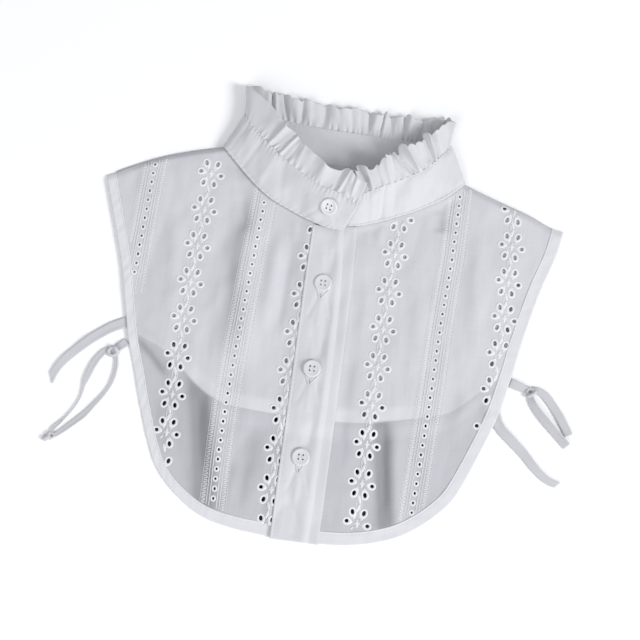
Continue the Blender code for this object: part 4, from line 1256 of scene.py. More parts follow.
def back_outline():
    """Outer edge of the back, from the left shoulder round to the right one."""
    left, right = shifted(left_edge, BACK_INSET), shifted(right_edge, -BACK_INSET)
    left = left[left[:, 1] > BACK_HEM[0][1] + 8]
    right = right[right[:, 1] > BACK_HEM[-1][1] + 8]
    left = left[distance_to(left_shoulder, left) >= BACK_SHOULDER_INSET]
    right = right[distance_to(right_shoulder, right) >= BACK_SHOULDER_INSET]
    corners = np.vstack([left, evenly(back_hem, 9.0)[1:-1], right[::-1]])
    return smooth_path(evenly(corners, 9.0), 6)


# Height of the back's upper face at its edge, and how close below the front it lies further in
BACK_REST = 0.78
BACK_GAP = 0.75
# The back cloth's thickness and the spacing of its points
BACK_SHELL = 0.4
BACK_STEP = 3.6


def make_back():
    edge = back_outline()
    inset = shifted(edge, BINDING_WIDTH - 0.8)
    for line in shoulders:
        inset = inset[distance_to(line, inset) >= BACK_SHOULDER_INSET - 3]
    left_top = evenly(shifted(left_shoulder, BACK_SHOULDER_INSET - 2), 3.0)
    right_top = evenly(shifted(right_shoulder, 2 - BACK_SHOULDER_INSET), 3.0)
    left_top = left_top[left_top[:, 0] > inset[0, 0] + 1]
    right_top = right_top[right_top[:, 0] < inset[-1, 0] - 1]
    neck = at_sections(seam_table, np.linspace(*BACK_NECK_SECTIONS, 40))[::-1, :2]
    outline = np.vstack([left_top, inset, right_top[::-1], neck + (0, 1.2)])

    def height(points):
        low = BACK_REST + 0.45 * bell(distance_to(closed_ring(neck), points), 3)
        near_front = front_height(points) + FRONT_TOP - SHELL - BACK_GAP
        share = eased((distance_to(edge, points) - 10) / 9)
        return low + (np.maximum(near_front, low) - low) * share
    cloth_panel("back", outline, [], height, BACK_SHELL, BACK_STEP, back_material,
                (0.325, 0.185), 0.048, ["table"])


make_back()


# Strips: bindings, plackets, band, frill and tapes

ALONG_STEP = 1.15
SEAM_GROOVE = 0.16
SEAM_GROOVE_WIDTH = 0.42
sewing = Threads()


def strip_rows(left, right, step=ALONG_STEP):
    """Both edges of a strip with the same number of points, a step apart on the longer."""
    count = max(8, round(max(run_of(left)[-1], run_of(right)[-1]) / step))
    places = spread(1.0, np.array(END_STEPS) / count / step, 1.0 / count)
    return [along_path(path, places * run_of(path)[-1]) for path in (left, right)]


def laid_strip(name, left, right, under, thickness, material, relief=None, seams=(),
               middle_step=1.1, step=ALONG_STEP, roll=0.75):
    """A folded strip between two flat paths on a height function.

    relief takes flat points, the distance across and the run along, and gives a
    rise in millimetres. seams are distances across at which stitches run, and roll is
    how far from its right edge the strip is at its full thickness.
    """
    left, right = strip_rows(left, right, step)
    width = np.linalg.norm(right - left, axis=1).mean()
    fitted = min(1.0, 0.36 * width / sum(EDGE_STEPS))
    across = spread(width, np.array(EDGE_STEPS) * fitted, middle_step)
    share = (across / width)[:, None, None]
    flat = left[None] * (1 - share) + right[None] * share
    rows, columns = flat.shape[:2]
    run = np.tile(run_of((left + right) / 2), (rows, 1))
    distance = np.tile(across[:, None], (1, columns))
    size = thickness * rounding(distance, 0.75 * fitted) * rounding(width - distance, roll * fitted)
    size *= rounding(np.minimum(run, run[:, -1:] - run), 0.7, 0.35)
    height = under(flat.reshape(-1, 2)).reshape(rows, columns) + thickness / 2
    for seam in seams:
        height -= SEAM_GROOVE * bell(distance - seam, SEAM_GROOVE_WIDTH)
    if relief is not None:
        height += relief(flat, distance, run)
    mid = np.dstack([flat, height])
    points, faces = folded(mid, size)
    piece = new_piece(name, points, faces, material)
    top = points[:rows * columns].reshape(rows, columns, 3)
    for seam in seams:
        sewing.stitches(top[np.argmin(np.abs(across - seam))])
    return piece


def puckers(number, inner_at_end):
    """Small slanting rumples, uneven along the strip, and a rolled inner edge."""
    def relief(flat, distance, run):
        spots = np.column_stack([run.ravel(), distance.ravel() + 61.0 * number])
        edges = np.sin(np.pi * np.clip(distance / distance.max(), 0, 1)) ** 0.4
        from_inner = distance.max() - distance if inner_at_end else distance
        rolled = 0.26 * bell(from_inner - 0.45, 0.5)
        return crumpled(spots, BINDING_CRUMPLES).reshape(run.shape) * edges + rolled
    return relief


BINDING_SEAM = 1.35
bindings = {
    "front_binding_left": (left_edge, extended(top_left + (1.2, 0)), 1, (0.010, 0.300)),
    "front_binding_right": (right_edge, extended(under_right - (1.2, 0)), -1, (0.010, 0.295)),
}
for number, (name, (edge, stop_line, side, flat)) in enumerate(bindings.items()):
    outer = up_to_line(edge, stop_line, side)
    inner = up_to_line(binding_inner(edge, side), stop_line, side)
    first, second = (outer, inner) if side > 0 else (inner, outer)
    width = np.linalg.norm(matched(inner, 60) - matched(outer, 60), axis=1).mean()
    from_outer = width - BINDING_SEAM if side > 0 else BINDING_SEAM
    piece = laid_strip(f"{name}_cloth", first, second, front_height, BINDING - 0.2,
                       binding_material,
                       puckers(number, side > 0), (from_outer,), 0.9)
    lay_sheet(piece, name, flat, ["back_cloth"])


def on_table(points):
    return np.zeros(len(points))


edge = evenly(back_outline(), 2.0)
piece = laid_strip("back_binding_cloth", edge, shifted(edge, BINDING_WIDTH), on_table,
                   BINDING - 0.2, binding_material, puckers(2, True),
                   (BINDING_WIDTH - BINDING_SEAM,), 1.2, 2.0)
lay_sheet(piece, "back_binding", (0.010, 0.600), ["table"])

# Pull lines on the placket: start and end from the middle of a button, half width, height
BUTTON_PULLS = [
    # x0, y0, x1, y1, half width, height
    (-2.0, -7.5, -7.0, -24.0, 1.7, -0.50),
    (2.0, -7.5, 6.0, -21.0, 1.6, 0.38),
    (0.0, -13.0, -0.6, -29.0, 1.8, 0.40),
    (3.4, -9.0, 9.0, -26.0, 1.6, -0.36),
    (-1.5, 7.5, -3.2, 20.0, 2.0, 0.34),
    (3.0, 7.0, 5.5, 24.0, 2.4, -0.40),
]
PLACKET_FOLDS = [
    # x0, y0, x1, y1, half width, height
    (5.4, -66.0, 6.0, -112.0, 2.6, -0.42),
    (-4.6, -34.0, -5.6, -108.0, 3.0, 0.26),
    (6.0, -132.0, 5.0, -176.0, 2.6, -0.50),
    (-4.4, -136.0, -5.2, -176.0, 2.8, 0.30),
    (4.6, -206.0, 2.6, -240.0, 2.6, -0.34),
    (-6.0, -205.0, -6.8, -240.0, 2.4, 0.24),
    (0.5, -28.0, 1.6, -50.0, 2.4, -0.24),
    (11.0, -30.0, 12.0, -238.0, 1.8, 0.34),
]
placket_lines = [([(x0, y0), (x1, y1)], width, height)
                 for x0, y0, x1, y1, width, height in PLACKET_FOLDS]
for x, y in BUTTON_SPOTS:
    placket_lines += [([(x + x0, y + y0), (x + x1, y + y1)], width, height)
                      for x0, y0, x1, y1, width, height in BUTTON_PULLS]


# Under each button the placket rises by this much, and its creases stop. Both fade with the
# square of the distance from the button over these areas.
MOUND_RISE = 0.85
MOUND_SPREAD = 110.0
BUTTON_CALM = 60.0
# The placket's right edge rolls down and its left edge is corded: rise, middle and reach
RIGHT_ROLL = (0.40, 4.4, 2.6)
RIGHT_DROP = (1.15, 4.6)
LEFT_CORD = (0.26, 0.8, 0.6)
# The under placket's right edge is raised: rise and reach
UNDER_EDGE = (0.42, 6.0)


def near_spot(points, spot, spread_out):
    """1 at a spot, fading away from it over an area."""
    return np.exp(-((points - spot) ** 2).sum(1) / spread_out)


def placket_relief(flat, distance, run):
    points = flat.reshape(-1, 2)
    rise = sum(height * bell(distance_to(np.array(line, dtype=float), points), width)
               for line, width, height in placket_lines)
    under_button = sum(near_spot(points, spot, BUTTON_CALM) for spot in BUTTON_SPOTS)
    rise = (rise * (1 - np.clip(under_button, 0, 1))).reshape(distance.shape)
    from_right = distance.max() - distance
    rolled = RIGHT_ROLL[0] * bell(from_right - RIGHT_ROLL[1], RIGHT_ROLL[2])
    rolled -= RIGHT_DROP[0] * (1 - eased(from_right / RIGHT_DROP[1]))
    corded = LEFT_CORD[0] * bell(distance - LEFT_CORD[1], LEFT_CORD[2])
    mound = MOUND_RISE * sum(near_spot(points, spot, MOUND_SPREAD) for spot in BUTTON_SPOTS)
    raised = rolled + corded + mound.reshape(distance.shape)
    return rise * eased(np.minimum(distance, from_right) / 2.5) + raised


def under_placket_relief(flat, distance, run):
    return UNDER_EDGE[0] * (1 - eased((distance.max() - distance) / UNDER_EDGE[1]))


def under_top_placket(points):
    return front_height(points) + UNDER_PLACKET + SEAM


piece = laid_strip("under_placket_cloth", smooth_path(UNDER_PLACKET_LEFT), under_right,
                   front_height, UNDER_PLACKET, plain_material,
                   under_placket_relief, roll=3.6)
lay_sheet(piece, "under_placket", (0.030, 0.240), ["back_cloth"])
piece = laid_strip("top_placket_cloth", top_left, smooth_path(TOP_PLACKET_RIGHT),
                   under_top_placket, TOP_PLACKET, plain_material,
                   placket_relief, (2.1,), 0.8, roll=2.6)
lay_sheet(piece, "top_placket", (0.031, 0.240), ["under_placket_cloth"])


# Collar

def collar_lines(places):
    """Seam, upper edge and frill edge of the collar at fractional sections."""
    return [at_sections([row[k] for row in COLLAR_SECTIONS], places) for k in range(3)]


# Creases of the band: from and to, each a collar section and a share of the band's height
BAND_CREASES = [
    # section, share, section, share, half width, rise
    (27.25, 0.0, 27.0, 1.0, 1.7, -0.95),
    (27.9, 0.1, 27.8, 1.0, 2.2, 0.55),
    (26.2, 0.3, 26.1, 1.0, 2.4, -0.50),
    (24.6, 0.0, 25.0, 0.8, 3.0, 0.45),
    (22.8, 0.1, 23.0, 0.9, 2.6, -0.25),
    (8.7, 0.0, 8.4, 0.9, 2.0, -0.45),
    (7.9, 0.1, 7.8, 1.0, 2.0, 0.35),
    (7.2, 0.1, 6.9, 1.0, 2.2, -0.55),
    (6.0, 0.0, 5.8, 0.9, 2.6, 0.50),
    (4.6, 0.1, 5.2, 0.9, 3.0, -0.45),
    (2.8, 0.1, 2.1, 0.45, 1.7, -0.60),
    (3.2, 0.6, 2.1, 0.65, 1.8, 0.45),
    (0.9, 0.35, 0.5, 0.05, 1.4, -0.32),
    (0.9, 0.75, 0.4, 0.95, 1.4, -0.30),
    (15.0, 0.2, 15.2, 0.9, 5.0, 0.15),
    (18.0, 0.1, 17.6, 0.9, 4.0, -0.20),
]
BAND_HEIGHT = 29.0
BAND_SEAMS = (1.9, BAND_HEIGHT - 1.5)
# How far the standing band rounds out between its edges
BAND_ROUND = 0.55
# Gathers below the frill and slanting puckers above the neck seam: depth, pitch and reach
BAND_GATHERS = (0.42, 3.3, 4.0)
BAND_PUCKERS = (0.17, 4.6, 3.6)
# A slow slanting swell: depth and pitch
BAND_SWELL = (0.20, 31.0)
# A groove along each seam, and a cord in the neck edge: depth, place and half width
BAND_GROOVE = (0.17, 0.42)
BAND_CORD = (0.36, 0.75, 0.6)
# Creases stop this near to the edges and the button
BAND_CALM_EDGE = 4.0
BAND_CALM_BUTTON = 7.0
# The band's stitches lie this far off its faces
STITCH_CLEAR = 0.06


def band_rise(mid, places, across, run, fine):
    """How far the band's cloth stands out from its plain wall, in rows by columns."""
    below_top = BAND_HEIGHT - across
    flat = np.dstack([np.tile(places, (len(across), 1)), np.tile(across[:, None], (1, len(places)))])
    points = flat.reshape(-1, 2)
    rise = crumpled(points, BAND_CRUMPLES)
    for s0, t0, s1, t1, width, height in BAND_CREASES:
        line = np.array([(np.interp(s0, fine, run), t0 * BAND_HEIGHT),
                         (np.interp(s1, fine, run), t1 * BAND_HEIGHT)])
        rise += height * bell(distance_to(line, points), width)
    rise = rise.reshape(mid.shape[:2]) * eased(np.minimum(across, below_top) / BAND_CALM_EDGE)[:, None]
    button_place = np.interp(COLLAR_BUTTON_SECTION, fine, run)
    rise *= eased(np.abs(places - button_place) / BAND_CALM_BUTTON)
    bowed = np.sin(np.pi * across / BAND_HEIGHT)[:, None]
    rise += BAND_ROUND * bowed * standing(mid)
    depth, pitch, reach = BAND_GATHERS
    turn = 2 * np.pi * places / pitch + 1.8 * np.sin(places / 7.0) + 0.9 * np.sin(places / 2.9)
    uneven = 0.6 + 0.4 * np.sin(places / 11.0)
    rise += depth * np.sin(turn) * uneven * bell(below_top, reach, 1.5)[:, None]
    slanted = places[None, :] + 0.7 * across[:, None]
    depth, pitch, reach = BAND_PUCKERS
    turn = 2 * np.pi * slanted / pitch + 1.4 * np.sin(places / 8.0)
    rise += depth * np.sin(turn) * bell(across, reach, 1.5)[:, None]
    depth, pitch = BAND_SWELL
    rise += depth * np.sin(2 * np.pi * slanted / pitch + 1.7 * np.sin(places / 23.0)) * bowed
    for line in BAND_SEAMS:
        rise -= BAND_GROOVE[0] * bell(across - line, BAND_GROOVE[1])[:, None]
    return rise + BAND_CORD[0] * bell(across - BAND_CORD[1], BAND_CORD[2])[:, None]


def standing(mid):
    """0 where the band lies on the table and 1 where it stands clear of it."""
    return eased((mid[:, :, 2] - 2.5) / 6)


def make_band():
    fine = np.linspace(0, len(COLLAR_SECTIONS) - 1, 3000)
    seam, top, _ = collar_lines(fine)
    run = run_of((seam + top) / 2)
    places = spread(run[-1], END_STEPS, 0.85)
    seam, top, _ = collar_lines(np.interp(places, run, fine))
    across = spread(BAND_HEIGHT, EDGE_STEPS, 1.5)
    share = (across / BAND_HEIGHT)[:, None, None]
    mid = seam[None] * (1 - share) + top[None] * share
    outward = -surface_normals(mid)
    rise = band_rise(mid, places, across, run, fine) * np.maximum(standing(mid), 0.35)
    mid = mid + outward * rise[:, :, None]
    ends = np.minimum(places, places[-1] - places)
    size = (BAND - 0.3) * rounding(np.minimum(across, BAND_HEIGHT - across), 0.8)[:, None]
    points, faces = folded(mid, size * rounding(ends, 0.8, 0.3)[None, :])
    piece = new_piece("neck_band_cloth", points, faces, plain_material)
    lay_sheet(piece, "neck_band", (0.43, 0.030), ["back_cloth"])
    for line in BAND_SEAMS:
        row = np.argmin(np.abs(across - line))
        for face, side in zip(points.reshape(2, len(across), -1, 3), (-1, 1)):
            path = face[row][3:-3] + outward[row][3:-3] * side * STITCH_CLEAR
            sewing.stitches(path, STANDING_STITCH)


FRILL_ROWS = (0.0, 0.03, 0.07, 0.12, 0.18, 0.25, 0.33, 0.42, 0.52, 0.62, 0.72, 0.81, 0.89,
              0.945, 0.975, 1.0)
FRILL_FINE = 26
FRILL_SHOWN = (0.05, 29.0)
FRILL_HEIGHT = 20.0
FRILL_CLOTH = 0.5
# Depth of the main lobes, of the slower swing between them, and of the tucks at the seam
LOBE_DEPTH = 2.6
SWING_DEPTH = 1.6
# Share of those depths round the collar, by section
FRILL_STRENGTHS = [(0, 0.95), (2, 1.10), (4, 0.75), (8, 0.70), (10, 0.85), (13, 1.05), (18, 1.05),
                   (21, 0.95), (24, 1.60), (28, 1.60)]
TUCK_DEPTH = 1.35
TUCK_PITCH = 5.4
# Height of the tucks' middle and how far they reach, as shares of the frill's height
TUCK_PLACE = (0.10, 0.13)
# The frill starts this far down inside the band's edge and stays this high off the table
FRILL_SUNK = 0.7
FRILL_LOWEST = 0.55
# How closely the lobes follow each other round the collar, by section
FRILL_CROWDING = [(0, 0.85), (3, 0.70), (9, 0.65), (12, 0.85), (20, 0.95), (24, 1.25), (28, 1.25)]
FRILL_CRUMPLES = [
    (24, 7.0, 15.0, 0.75),
    (-30, 5.0, 12.0, 0.50),
    (10, 3.2, 7.0, 0.20),
]
# The frill has this share of the solid's number of waves as lobes
FRILL_FULLNESS = 0.78
# How far the lobes lean over, and the phases of the lean and of their rise
LOBE_LEAN = 0.85
LOBE_LEAN_PHASE = 0.7
LOBE_RISE_PHASE = 1.6
# Waves beside the lobes: pace against theirs, phase, and the phase's drift, which is its
# radians along the seam and its size
STRENGTH_WAVE = (0.39, 0.8, 17, 0.7)
SWING_WAVE = (0.43, 1.3, 13, 0.9)
RIPPLE_WAVE = (2.37, 0.0, 41, 2.0)
RISE_WAVE = (0.57, 2.0, 0, 0.0)
SWAY_WAVE = (0.31, 0.4, 0, 0.0)
# Rise of the free edge with the slow wave, the lobes and the ripples, and sway along the seam
# with the slow wave and twice in each lobe
EDGE_RISES = (1.1, 1.3, 0.4)
EDGE_SWAYS = (1.9, 0.5)
# Ripples are this deep all over, and this much more at the seam
RIPPLE_DEPTHS = (0.10, 0.25)
OPENING_POWER = 0.62


def run_share(weights):
    """Running share from 0 to 1 of a row of weights."""
    total = np.concatenate([[0.0], np.cumsum((weights[1:] + weights[:-1]) / 2)])
    return total / total[-1]


def wave_beside(angle, share, kind):
    """A wave at its own pace beside the lobes, drifting round the collar."""
    pace, phase, drift_pace, drift_size = kind
    return np.sin(pace * angle + phase + drift_size * np.sin(drift_pace * share))


def make_frill():
    fine = np.linspace(*FRILL_SHOWN, 3000)
    _, top, _ = collar_lines(fine)
    run = run_of(top)
    columns = FRILL_WAVES * FRILL_FINE
    wanted = np.linspace(0, run[-1], columns + 1)
    _, top, edge = collar_lines(np.interp(wanted, run, fine))
    outward = unit(edge - top)
    along = unit(np.gradient(top + edge, axis=0))
    normal = unit(np.cross(along, outward))
    share = wanted / run[-1]
    sections = np.interp(wanted, run, fine)
    ends = eased(np.minimum(wanted, run[-1] - wanted) / FRILL_FLAT_END)
    ends = ends * np.interp(sections, *np.array(FRILL_STRENGTHS).T)
    crowding = np.interp(sections, *np.array(FRILL_CROWDING).T)
    turns = FRILL_WAVES * FRILL_FULLNESS * run_share(crowding)
    for drift, size in FRILL_WAVE_DRIFT:
        turns = turns + 1.8 * size * np.sin(drift * share)
    angle = 2 * np.pi * turns
    leaning = angle + LOBE_LEAN * np.sin(angle + LOBE_LEAN_PHASE)
    strength = 0.62 + 0.38 * wave_beside(angle, share, STRENGTH_WAVE)
    lobes = np.sin(leaning) * strength * ends
    swing = wave_beside(angle, share, SWING_WAVE) * ends
    tuck_turn = np.pi * wanted / TUCK_PITCH + 1.2 * np.sin(wanted / 6.3) + 0.8 * np.sin(wanted / 2.9)
    tucks = (0.5 + 0.5 * np.sin(2 * tuck_turn)) ** 3 * (0.6 + 0.4 * np.sin(wanted / 9.1))
    ripples = wave_beside(angle, share, RIPPLE_WAVE) * ends
    lobe_rise = np.sin(leaning + LOBE_RISE_PHASE) * strength
    edge_rise = (EDGE_RISES[0] * wave_beside(angle, share, RISE_WAVE) + EDGE_RISES[1] * lobe_rise
                 + EDGE_RISES[2] * ripples) * ends
    slow_sway = EDGE_SWAYS[0] * wave_beside(angle, share, SWAY_WAVE) * ends
    fast_sway = EDGE_SWAYS[1] * np.sin(2 * angle) * ends
    rows = []
    for t in FRILL_ROWS:
        opened = t ** OPENING_POWER
        spots = np.column_stack([wanted, np.full(len(wanted), t * FRILL_HEIGHT)])
        depth = lobes * LOBE_DEPTH * opened + swing * SWING_DEPTH * t ** 1.3
        depth = depth - tucks * TUCK_DEPTH * bell(t - TUCK_PLACE[0], TUCK_PLACE[1])
        depth = depth + ripples * (RIPPLE_DEPTHS[0] + RIPPLE_DEPTHS[1] * math.exp(-t / 0.25))
        depth = depth + crumpled(spots, FRILL_CRUMPLES) * opened * eased(ends * 2)
        sway = slow_sway * t + fast_sway * opened
        base = top - outward * FRILL_SUNK
        rows.append(base * (1 - t) + edge * t + normal * depth[:, None]
                    + outward * (edge_rise * t)[:, None] + along * sway[:, None])
    mid = np.array(rows)
    mid[:, :, 2] = np.maximum(mid[:, :, 2], FRILL_LOWEST)
    from_edge = FRILL_HEIGHT * (1 - np.array(FRILL_ROWS))
    size = FRILL_CLOTH * rounding(from_edge, 0.5)[:, None] * np.ones((1, columns + 1))
    size = size + 0.2 * bell(from_edge - 0.9, 0.5)[:, None]
    size *= rounding(np.minimum(wanted, run[-1] - wanted), 0.6, 0.3)[None, :]
    points, faces = folded(mid, size)
    piece = new_piece("collar_frill_cloth", points, faces, frill_material)
    lay_sheet(piece, "collar_frill", (0.66, 0.0150), ["neck_band_cloth"], held="gathered")


make_band()
make_frill()


# Buttons, their thread and their buttonholes

BUTTON_PROFILE = [
    # radius, height
    (0.0, 1.66), (2.8, 1.66), (3.6, 1.70), (4.3, 1.82), (4.8, 1.94), (5.2, 2.00), (5.6, 1.98),
    (5.95, 1.86), (6.2, 1.66), (6.35, 1.40), (6.40, 1.10), (6.30, 0.72), (6.0, 0.38),
    (5.4, 0.12), (4.6, 0.0), (0.0, 0.0)]
BUTTON_HOLE = 0.72
BUTTON_HOLE_OFFSET = 1.50
BUTTON_EDGES = math.radians(38)
# The thread over a button: radius, and its place, reach, height and arch
BUTTON_THREAD = 0.27
THREAD_PLACE = BUTTON_HOLE_OFFSET - 0.36
THREAD_REACH = BUTTON_HOLE_OFFSET - 0.20
THREAD_HEIGHT = 1.70
THREAD_ARCH = 0.10


def thread_holes():
    """Four pegs that cut the holes of a button."""
    pegs = bmesh.new()
    for across in (-1, 1):
        for up in (-1, 1):
            place = Matrix.Translation((across * BUTTON_HOLE_OFFSET * MM,
                                        up * BUTTON_HOLE_OFFSET * MM, BUTTON_THICKNESS / 2 * MM))
            bmesh.ops.create_cone(pegs, cap_ends=True, segments=18, matrix=place,
                                  radius1=BUTTON_HOLE * MM, radius2=BUTTON_HOLE * MM,
                                  depth=(BUTTON_THICKNESS + 2) * MM)
    peg_mesh = bpy.data.meshes.new("thread_holes")
    pegs.to_mesh(peg_mesh)
    pegs.free()
    return bpy.data.objects.new("thread_holes", peg_mesh)


def button_blank():
    """The shape of a button: its profile turned round, with four holes cut through."""
    mesh = bpy.data.meshes.new("button_blank")
    mesh.from_pydata([(r * MM, 0, z * MM) for r, z in BUTTON_PROFILE],
                     [(i, i + 1) for i in range(len(BUTTON_PROFILE) - 1)], [])
    blank = bpy.data.objects.new("button_blank", mesh)
    link(blank)
    turned = blank.modifiers.new("turned", "SCREW")
    turned.angle = 2 * math.pi
    turned.steps = turned.render_steps = 48
    turned.use_merge_vertices = True
    turned.merge_threshold = 0.00001
    cutter = thread_holes()
    link(cutter)
    holes = blank.modifiers.new("holes", "BOOLEAN")
    holes.operation = "DIFFERENCE"
    holes.object = cutter
    bpy.context.view_layer.update()
    ready = bpy.data.meshes.new_from_object(blank.evaluated_get(bpy.context.evaluated_depsgraph_get()))
    for spare in (blank, cutter):
        bpy.data.objects.remove(spare, do_unlink=True)
    ready.shade_smooth()
    ready.set_sharp_from_angle(angle=BUTTON_EDGES)
    return ready


blank_mesh = button_blank()


def make_button(name, place, turn):
    """A finished button at a place in millimetres, turned by a matrix, with its thread."""
    mesh = blank_mesh.copy()
    frame_of_button = Matrix.Translation(Vector(place) * MM) @ turn.to_4x4()
    mesh.transform(frame_of_button)
    mesh.materials.clear()
    mesh.materials.append(shell_material)
    button = bpy.data.objects.new(f"{name}_shell", mesh)
    link(button)
    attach(button, "root")
    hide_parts(name)
    for across in (-1, 1):
        path = []
        for t in np.linspace(-1, 1, 11):
            arch = THREAD_ARCH * (1 - t ** 2) - 4.0 * max(0, abs(t) - 0.74)
            local = Vector((across * THREAD_PLACE, t * THREAD_REACH, THREAD_HEIGHT + arch))
            path.append(tuple((frame_of_button @ (local * MM)) / MM))
        sewing.tube(np.array(path), BUTTON_THREAD, 6, taper=False)


# A placket button sits on the highest cloth under a square of spots this far from its middle
SEAT_SPOTS = (-5, 0, 5)
# A buttonhole starts and ends here from the middle of its button. Its welts stand apart by
# this much at the start, for each button, and meet at the end, where the slit shows.
BUTTONHOLE_START = (0.1, -1.5)
BUTTONHOLE_END = (-0.5, -11.2)
BUTTONHOLE_OPENED = (6.2, 6.6, 3.6)
BUTTONHOLE_STEPS = 40
WELT_RADIUS = 0.62
WELT_GAP = 0.45
# The slit's shade is painted as a thin dark strip: from this step of the welts, this far to each side,
# and this thick
SLIT_START = 26
SLIT_SIDES = (-0.18, 0.18)
SLIT_SHADOW_SHEET = 0.06
welts = Threads()


def buttonhole(start, end, opened, above):
    """Two welts of close stitches pulled apart by the button and meeting at the lower end."""
    share = np.linspace(0, 1, BUTTONHOLE_STEPS)[:, None]
    line = start + (end - start) * share
    for side in (-1, 1):
        path = above(shifted(line, side * (WELT_GAP + opened * (1 - share))))
        path[:, 2] += 0.05 * (np.arange(BUTTONHOLE_STEPS) % 2) - 0.22
        welts.tube(path, WELT_RADIUS, 8)
    return line


for number, (x, y) in enumerate(BUTTON_SPOTS, 1):
    spots = np.array([(x + dx, y + dy) for dx in SEAT_SPOTS for dy in SEAT_SPOTS])
    seat = front_height(spots).max() + UNDER_PLACKET + SEAM + TOP_PLACKET
    make_button(f"placket_button_{number}", (x, y, seat), Matrix.Identity(3))

    def on_placket(flat):
        rise = MOUND_RISE * near_spot(flat, (x, y), MOUND_SPREAD)
        return np.column_stack([flat, under_top_placket(flat) + TOP_PLACKET + rise])
    start, end = (np.array((x, y)) + offset for offset in (BUTTONHOLE_START, BUTTONHOLE_END))
    line = buttonhole(start, end, BUTTONHOLE_OPENED[number - 1], on_placket)
    # Painted shadow in the slit: a thin dark strip laid along the meeting welts
    rows = np.array([on_placket(shifted(line[SLIT_START:], offset)) for offset in SLIT_SIDES])
    points, faces = folded(rows + (0, 0, SLIT_SHADOW_SHEET), SLIT_SHADOW_SHEET)
    new_piece(f"buttonhole_slit_shadow_{number}", points, faces, slit_shadow_material)

seam, top, _ = collar_lines(np.array([COLLAR_BUTTON_SECTION - 0.2, COLLAR_BUTTON_SECTION,
                                      COLLAR_BUTTON_SECTION + 0.2]))
up = Vector(top[1] - seam[1]).normalized()
right = Vector(seam[0] - seam[2]).normalized()
out = right.cross(up).normalized()
turn = Matrix((right, out.cross(right), out)).transposed()
spot = Vector(seam[1] * (1 - COLLAR_BUTTON_HEIGHT) + top[1] * COLLAR_BUTTON_HEIGHT)
make_button("collar_button", spot + out * (BAND / 2 + SEAM + 0.25), turn)


# Ties

# A tape's edge rolls up and its middle ripples: rise and length of the waves. Its tilt is
# reached over the last of these lengths.
TAPE_ROLL = (0.45, 10.0)
TAPE_RIPPLE = (0.20, 4.3)
TAPE_TURN = 9.0
# The strap over a knot: across in ring radii, along in strap lengths, height in tube radii
KNOT_STRAP = ((0.55, -1.0, 0.9), (0.95, -0.55, 2.3), (1.05, 0.1, 3.1), (0.75, 0.65, 2.3),
              (0.15, 1.0, 0.9))


def lay_tape(name, points, root_width, end_width, number):
    """A flat folded tape on the table, a little wavy and rolled at one edge."""
    path = evenly(smooth_path(points), 1.0)
    shares, tilt, cut = TIE_FORMS[name]
    half = np.linspace(root_width, end_width, len(path))[:, None] / 2
    half = half * np.interp(np.linspace(0, 1, len(path)), *np.array(shares).T)[:, None]
    left, right = shifted(path, -half), shifted(path, half)
    if cut:
        left = left[run_of(left) < run_of(left)[-1] - cut]

    def relief(flat, distance, run):
        across = distance / distance.max()
        wave = 0.5 + 0.5 * np.sin(run / TAPE_ROLL[1] + number)
        rolled = TAPE_ROLL[0] * wave * eased((across - 0.55) / 0.45)
        ripple = TAPE_RIPPLE[0] * (1 + np.sin(run / TAPE_RIPPLE[1] + 2.2 * number))
        turned = np.sin(0.5 * np.pi * np.clip(run / TAPE_TURN, 0, 1))
        tilted = abs(tilt) * (across if tilt < 0 else 1 - across) * turned
        return rolled + tilted + ripple * np.sin(np.pi * np.clip(run / run.max(), 0, 1))
    piece = laid_strip(f"{name}_tape", left, right, lambda flat: np.full(len(flat), TIE_REST),
                       TAPE, tie_material, relief, (), 0.7, 1.2)
    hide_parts(name)
    path = (matched(left, len(path)) + matched(right, len(path))) / 2
    centre = np.column_stack([path, np.full(len(path), TIE_REST + TAPE / 2)]) * MM
    return piece, centre


def tie_knot(name, x, y, across, tube, turn, ahead, behind):
    """A small tight knot: a ring of rolled tape round an eye, and the strap that crosses it."""
    reach = across / 2 - tube
    angle = np.linspace(0, 2 * np.pi, 56, endpoint=False)
    lean = math.radians(turn)
    loop = np.column_stack([reach * np.cos(angle), 0.92 * reach * np.sin(angle),
                            TIE_REST + tube + 0.45 * (1 + np.cos(angle - 0.6))])
    strap = np.array([(out * reach, share * (ahead if share < 0 else behind), TIE_REST + up * tube)
                      for out, share, up in KNOT_STRAP])
    spin = np.array([[math.cos(lean), math.sin(lean)], [-math.sin(lean), math.cos(lean)]])
    knot = Threads()
    for path, closed in ((loop, True), (smooth_path(strap, 6), False)):
        path = np.column_stack([path[:, :2] @ spin + (x, y), path[:, 2]])
        if closed:
            knot.loop(path, tube * (1 + 0.07 * np.sin(5 * angle + x)))
        else:
            knot.tube(path, tube * 1.05, 12)
    if name == "tie_end_knot_left":
        angle = np.linspace(0, 2 * np.pi, 40, endpoint=False)
        curl = np.column_stack([END_BLOB[0] + 1.0 * np.cos(angle), END_BLOB[1] + 0.7 * np.sin(angle),
                                TIE_REST + 1.5 + 0.3 * np.sin(2 * angle)])
        knot.loop(curl, 1.35 + 0.2 * np.sin(3 * angle))
    piece = knot.piece(f"{name}_loops", tie_material, "tie_cotton")
    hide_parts(name)
    return piece


knots = {name: tie_knot(name, *sizes) for name, sizes in TIE_KNOTS.items()}
for number, (name, (points, root_width, end_width)) in enumerate(TIE_TABS.items()):
    lay_tape(name, points, root_width, end_width, number)
for number, (name, (points, root_width, end_width)) in enumerate(TIES.items()):
    piece, centre = lay_tape(name, points, root_width, end_width, number)
    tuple(centre[0])
    run_of(centre)[-1]

welts.piece("buttonhole_welts", plain_material, "plain_cotton")
sewing.piece("sewing_stitches", sewing_material, "plain_cotton")


# Stage

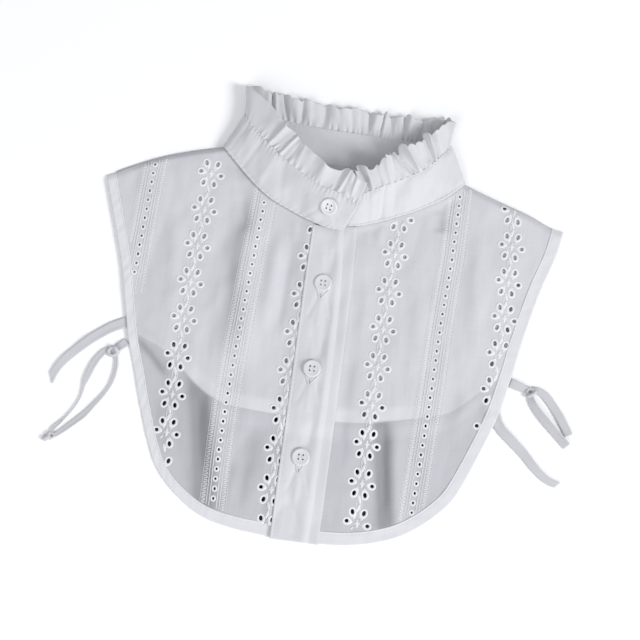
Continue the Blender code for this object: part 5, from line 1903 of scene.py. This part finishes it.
CARD_INSET = 7.0
CARD_HEIGHT = -0.1
CARD_COLOUR = (0.03, 0.03, 0.035)
TABLE_COLOUR = (0.98, 0.98, 0.985)
TABLE_SIZE = 6.0
TABLE_HEIGHT = -0.0002
WORLD_COLOUR = (0.93, 0.95, 1.0, 1)
WORLD_STRENGTH = 0.54
LIGHTS = (
    # name, place in metres, size, energy
    ("key", (3.10, -1.20, 2.50), 1.50, 110.0),
    ("fill", (-1.20, -2.60, 2.40), 2.4, 42.0),
)
LIGHT_AIM = (0, -0.08, 0)


def dark_card():
    """The dark surface that the photo shows through the eyelets below the back's hem."""
    left, right = shifted(left_edge, CARD_INSET), shifted(right_edge, -CARD_INSET)
    rim = np.vstack([left, right[-2::-1]])
    rim = rim[rim[:, 1] < back_hem_height(rim[:, 0]) - 1]
    top = back_hem[(back_hem[:, 0] > rim[0, 0]) & (back_hem[:, 0] < rim[-1, 0])][::-1] - (0, 1)
    outline = np.vstack([rim, top])
    mesh = bpy.data.meshes.new("dark_card")
    mesh.from_pydata([(x * MM, y * MM, CARD_HEIGHT * MM) for x, y in outline], [],
                     [range(len(outline))])
    mesh.materials.append(new_material("dark_card", CARD_COLOUR, 0.9)[0])
    card = bpy.data.objects.new("dark_card", mesh)
    link(card)
    return card


def make_stage():
    """A pale table, the dark card on it, an even sky and two soft lights."""
    bpy.ops.mesh.primitive_plane_add(size=TABLE_SIZE, location=(0, 0, TABLE_HEIGHT))
    table = bpy.context.object
    table.name = "table"
    table.data.materials.append(new_material("pale_table", TABLE_COLOUR, 0.9)[0])
    dark_card()
    world = bpy.data.worlds.new("studio")
    world.use_nodes = True
    background = world.node_tree.nodes["Background"]
    background.inputs["Color"].default_value = WORLD_COLOUR
    background.inputs["Strength"].default_value = WORLD_STRENGTH
    bpy.context.scene.world = world
    bpy.context.scene.view_settings.view_transform = "Standard"
    for name, place, size, energy in LIGHTS:
        data = bpy.data.lights.new(name, "AREA")
        data.shape = "DISK"
        data.size = size
        data.energy = energy
        light = bpy.data.objects.new(name, data)
        light.location = place
        aim = Vector(LIGHT_AIM) - light.location
        light.rotation_euler = aim.to_track_quat("-Z", "Y").to_euler()
        link(light)


make_stage()
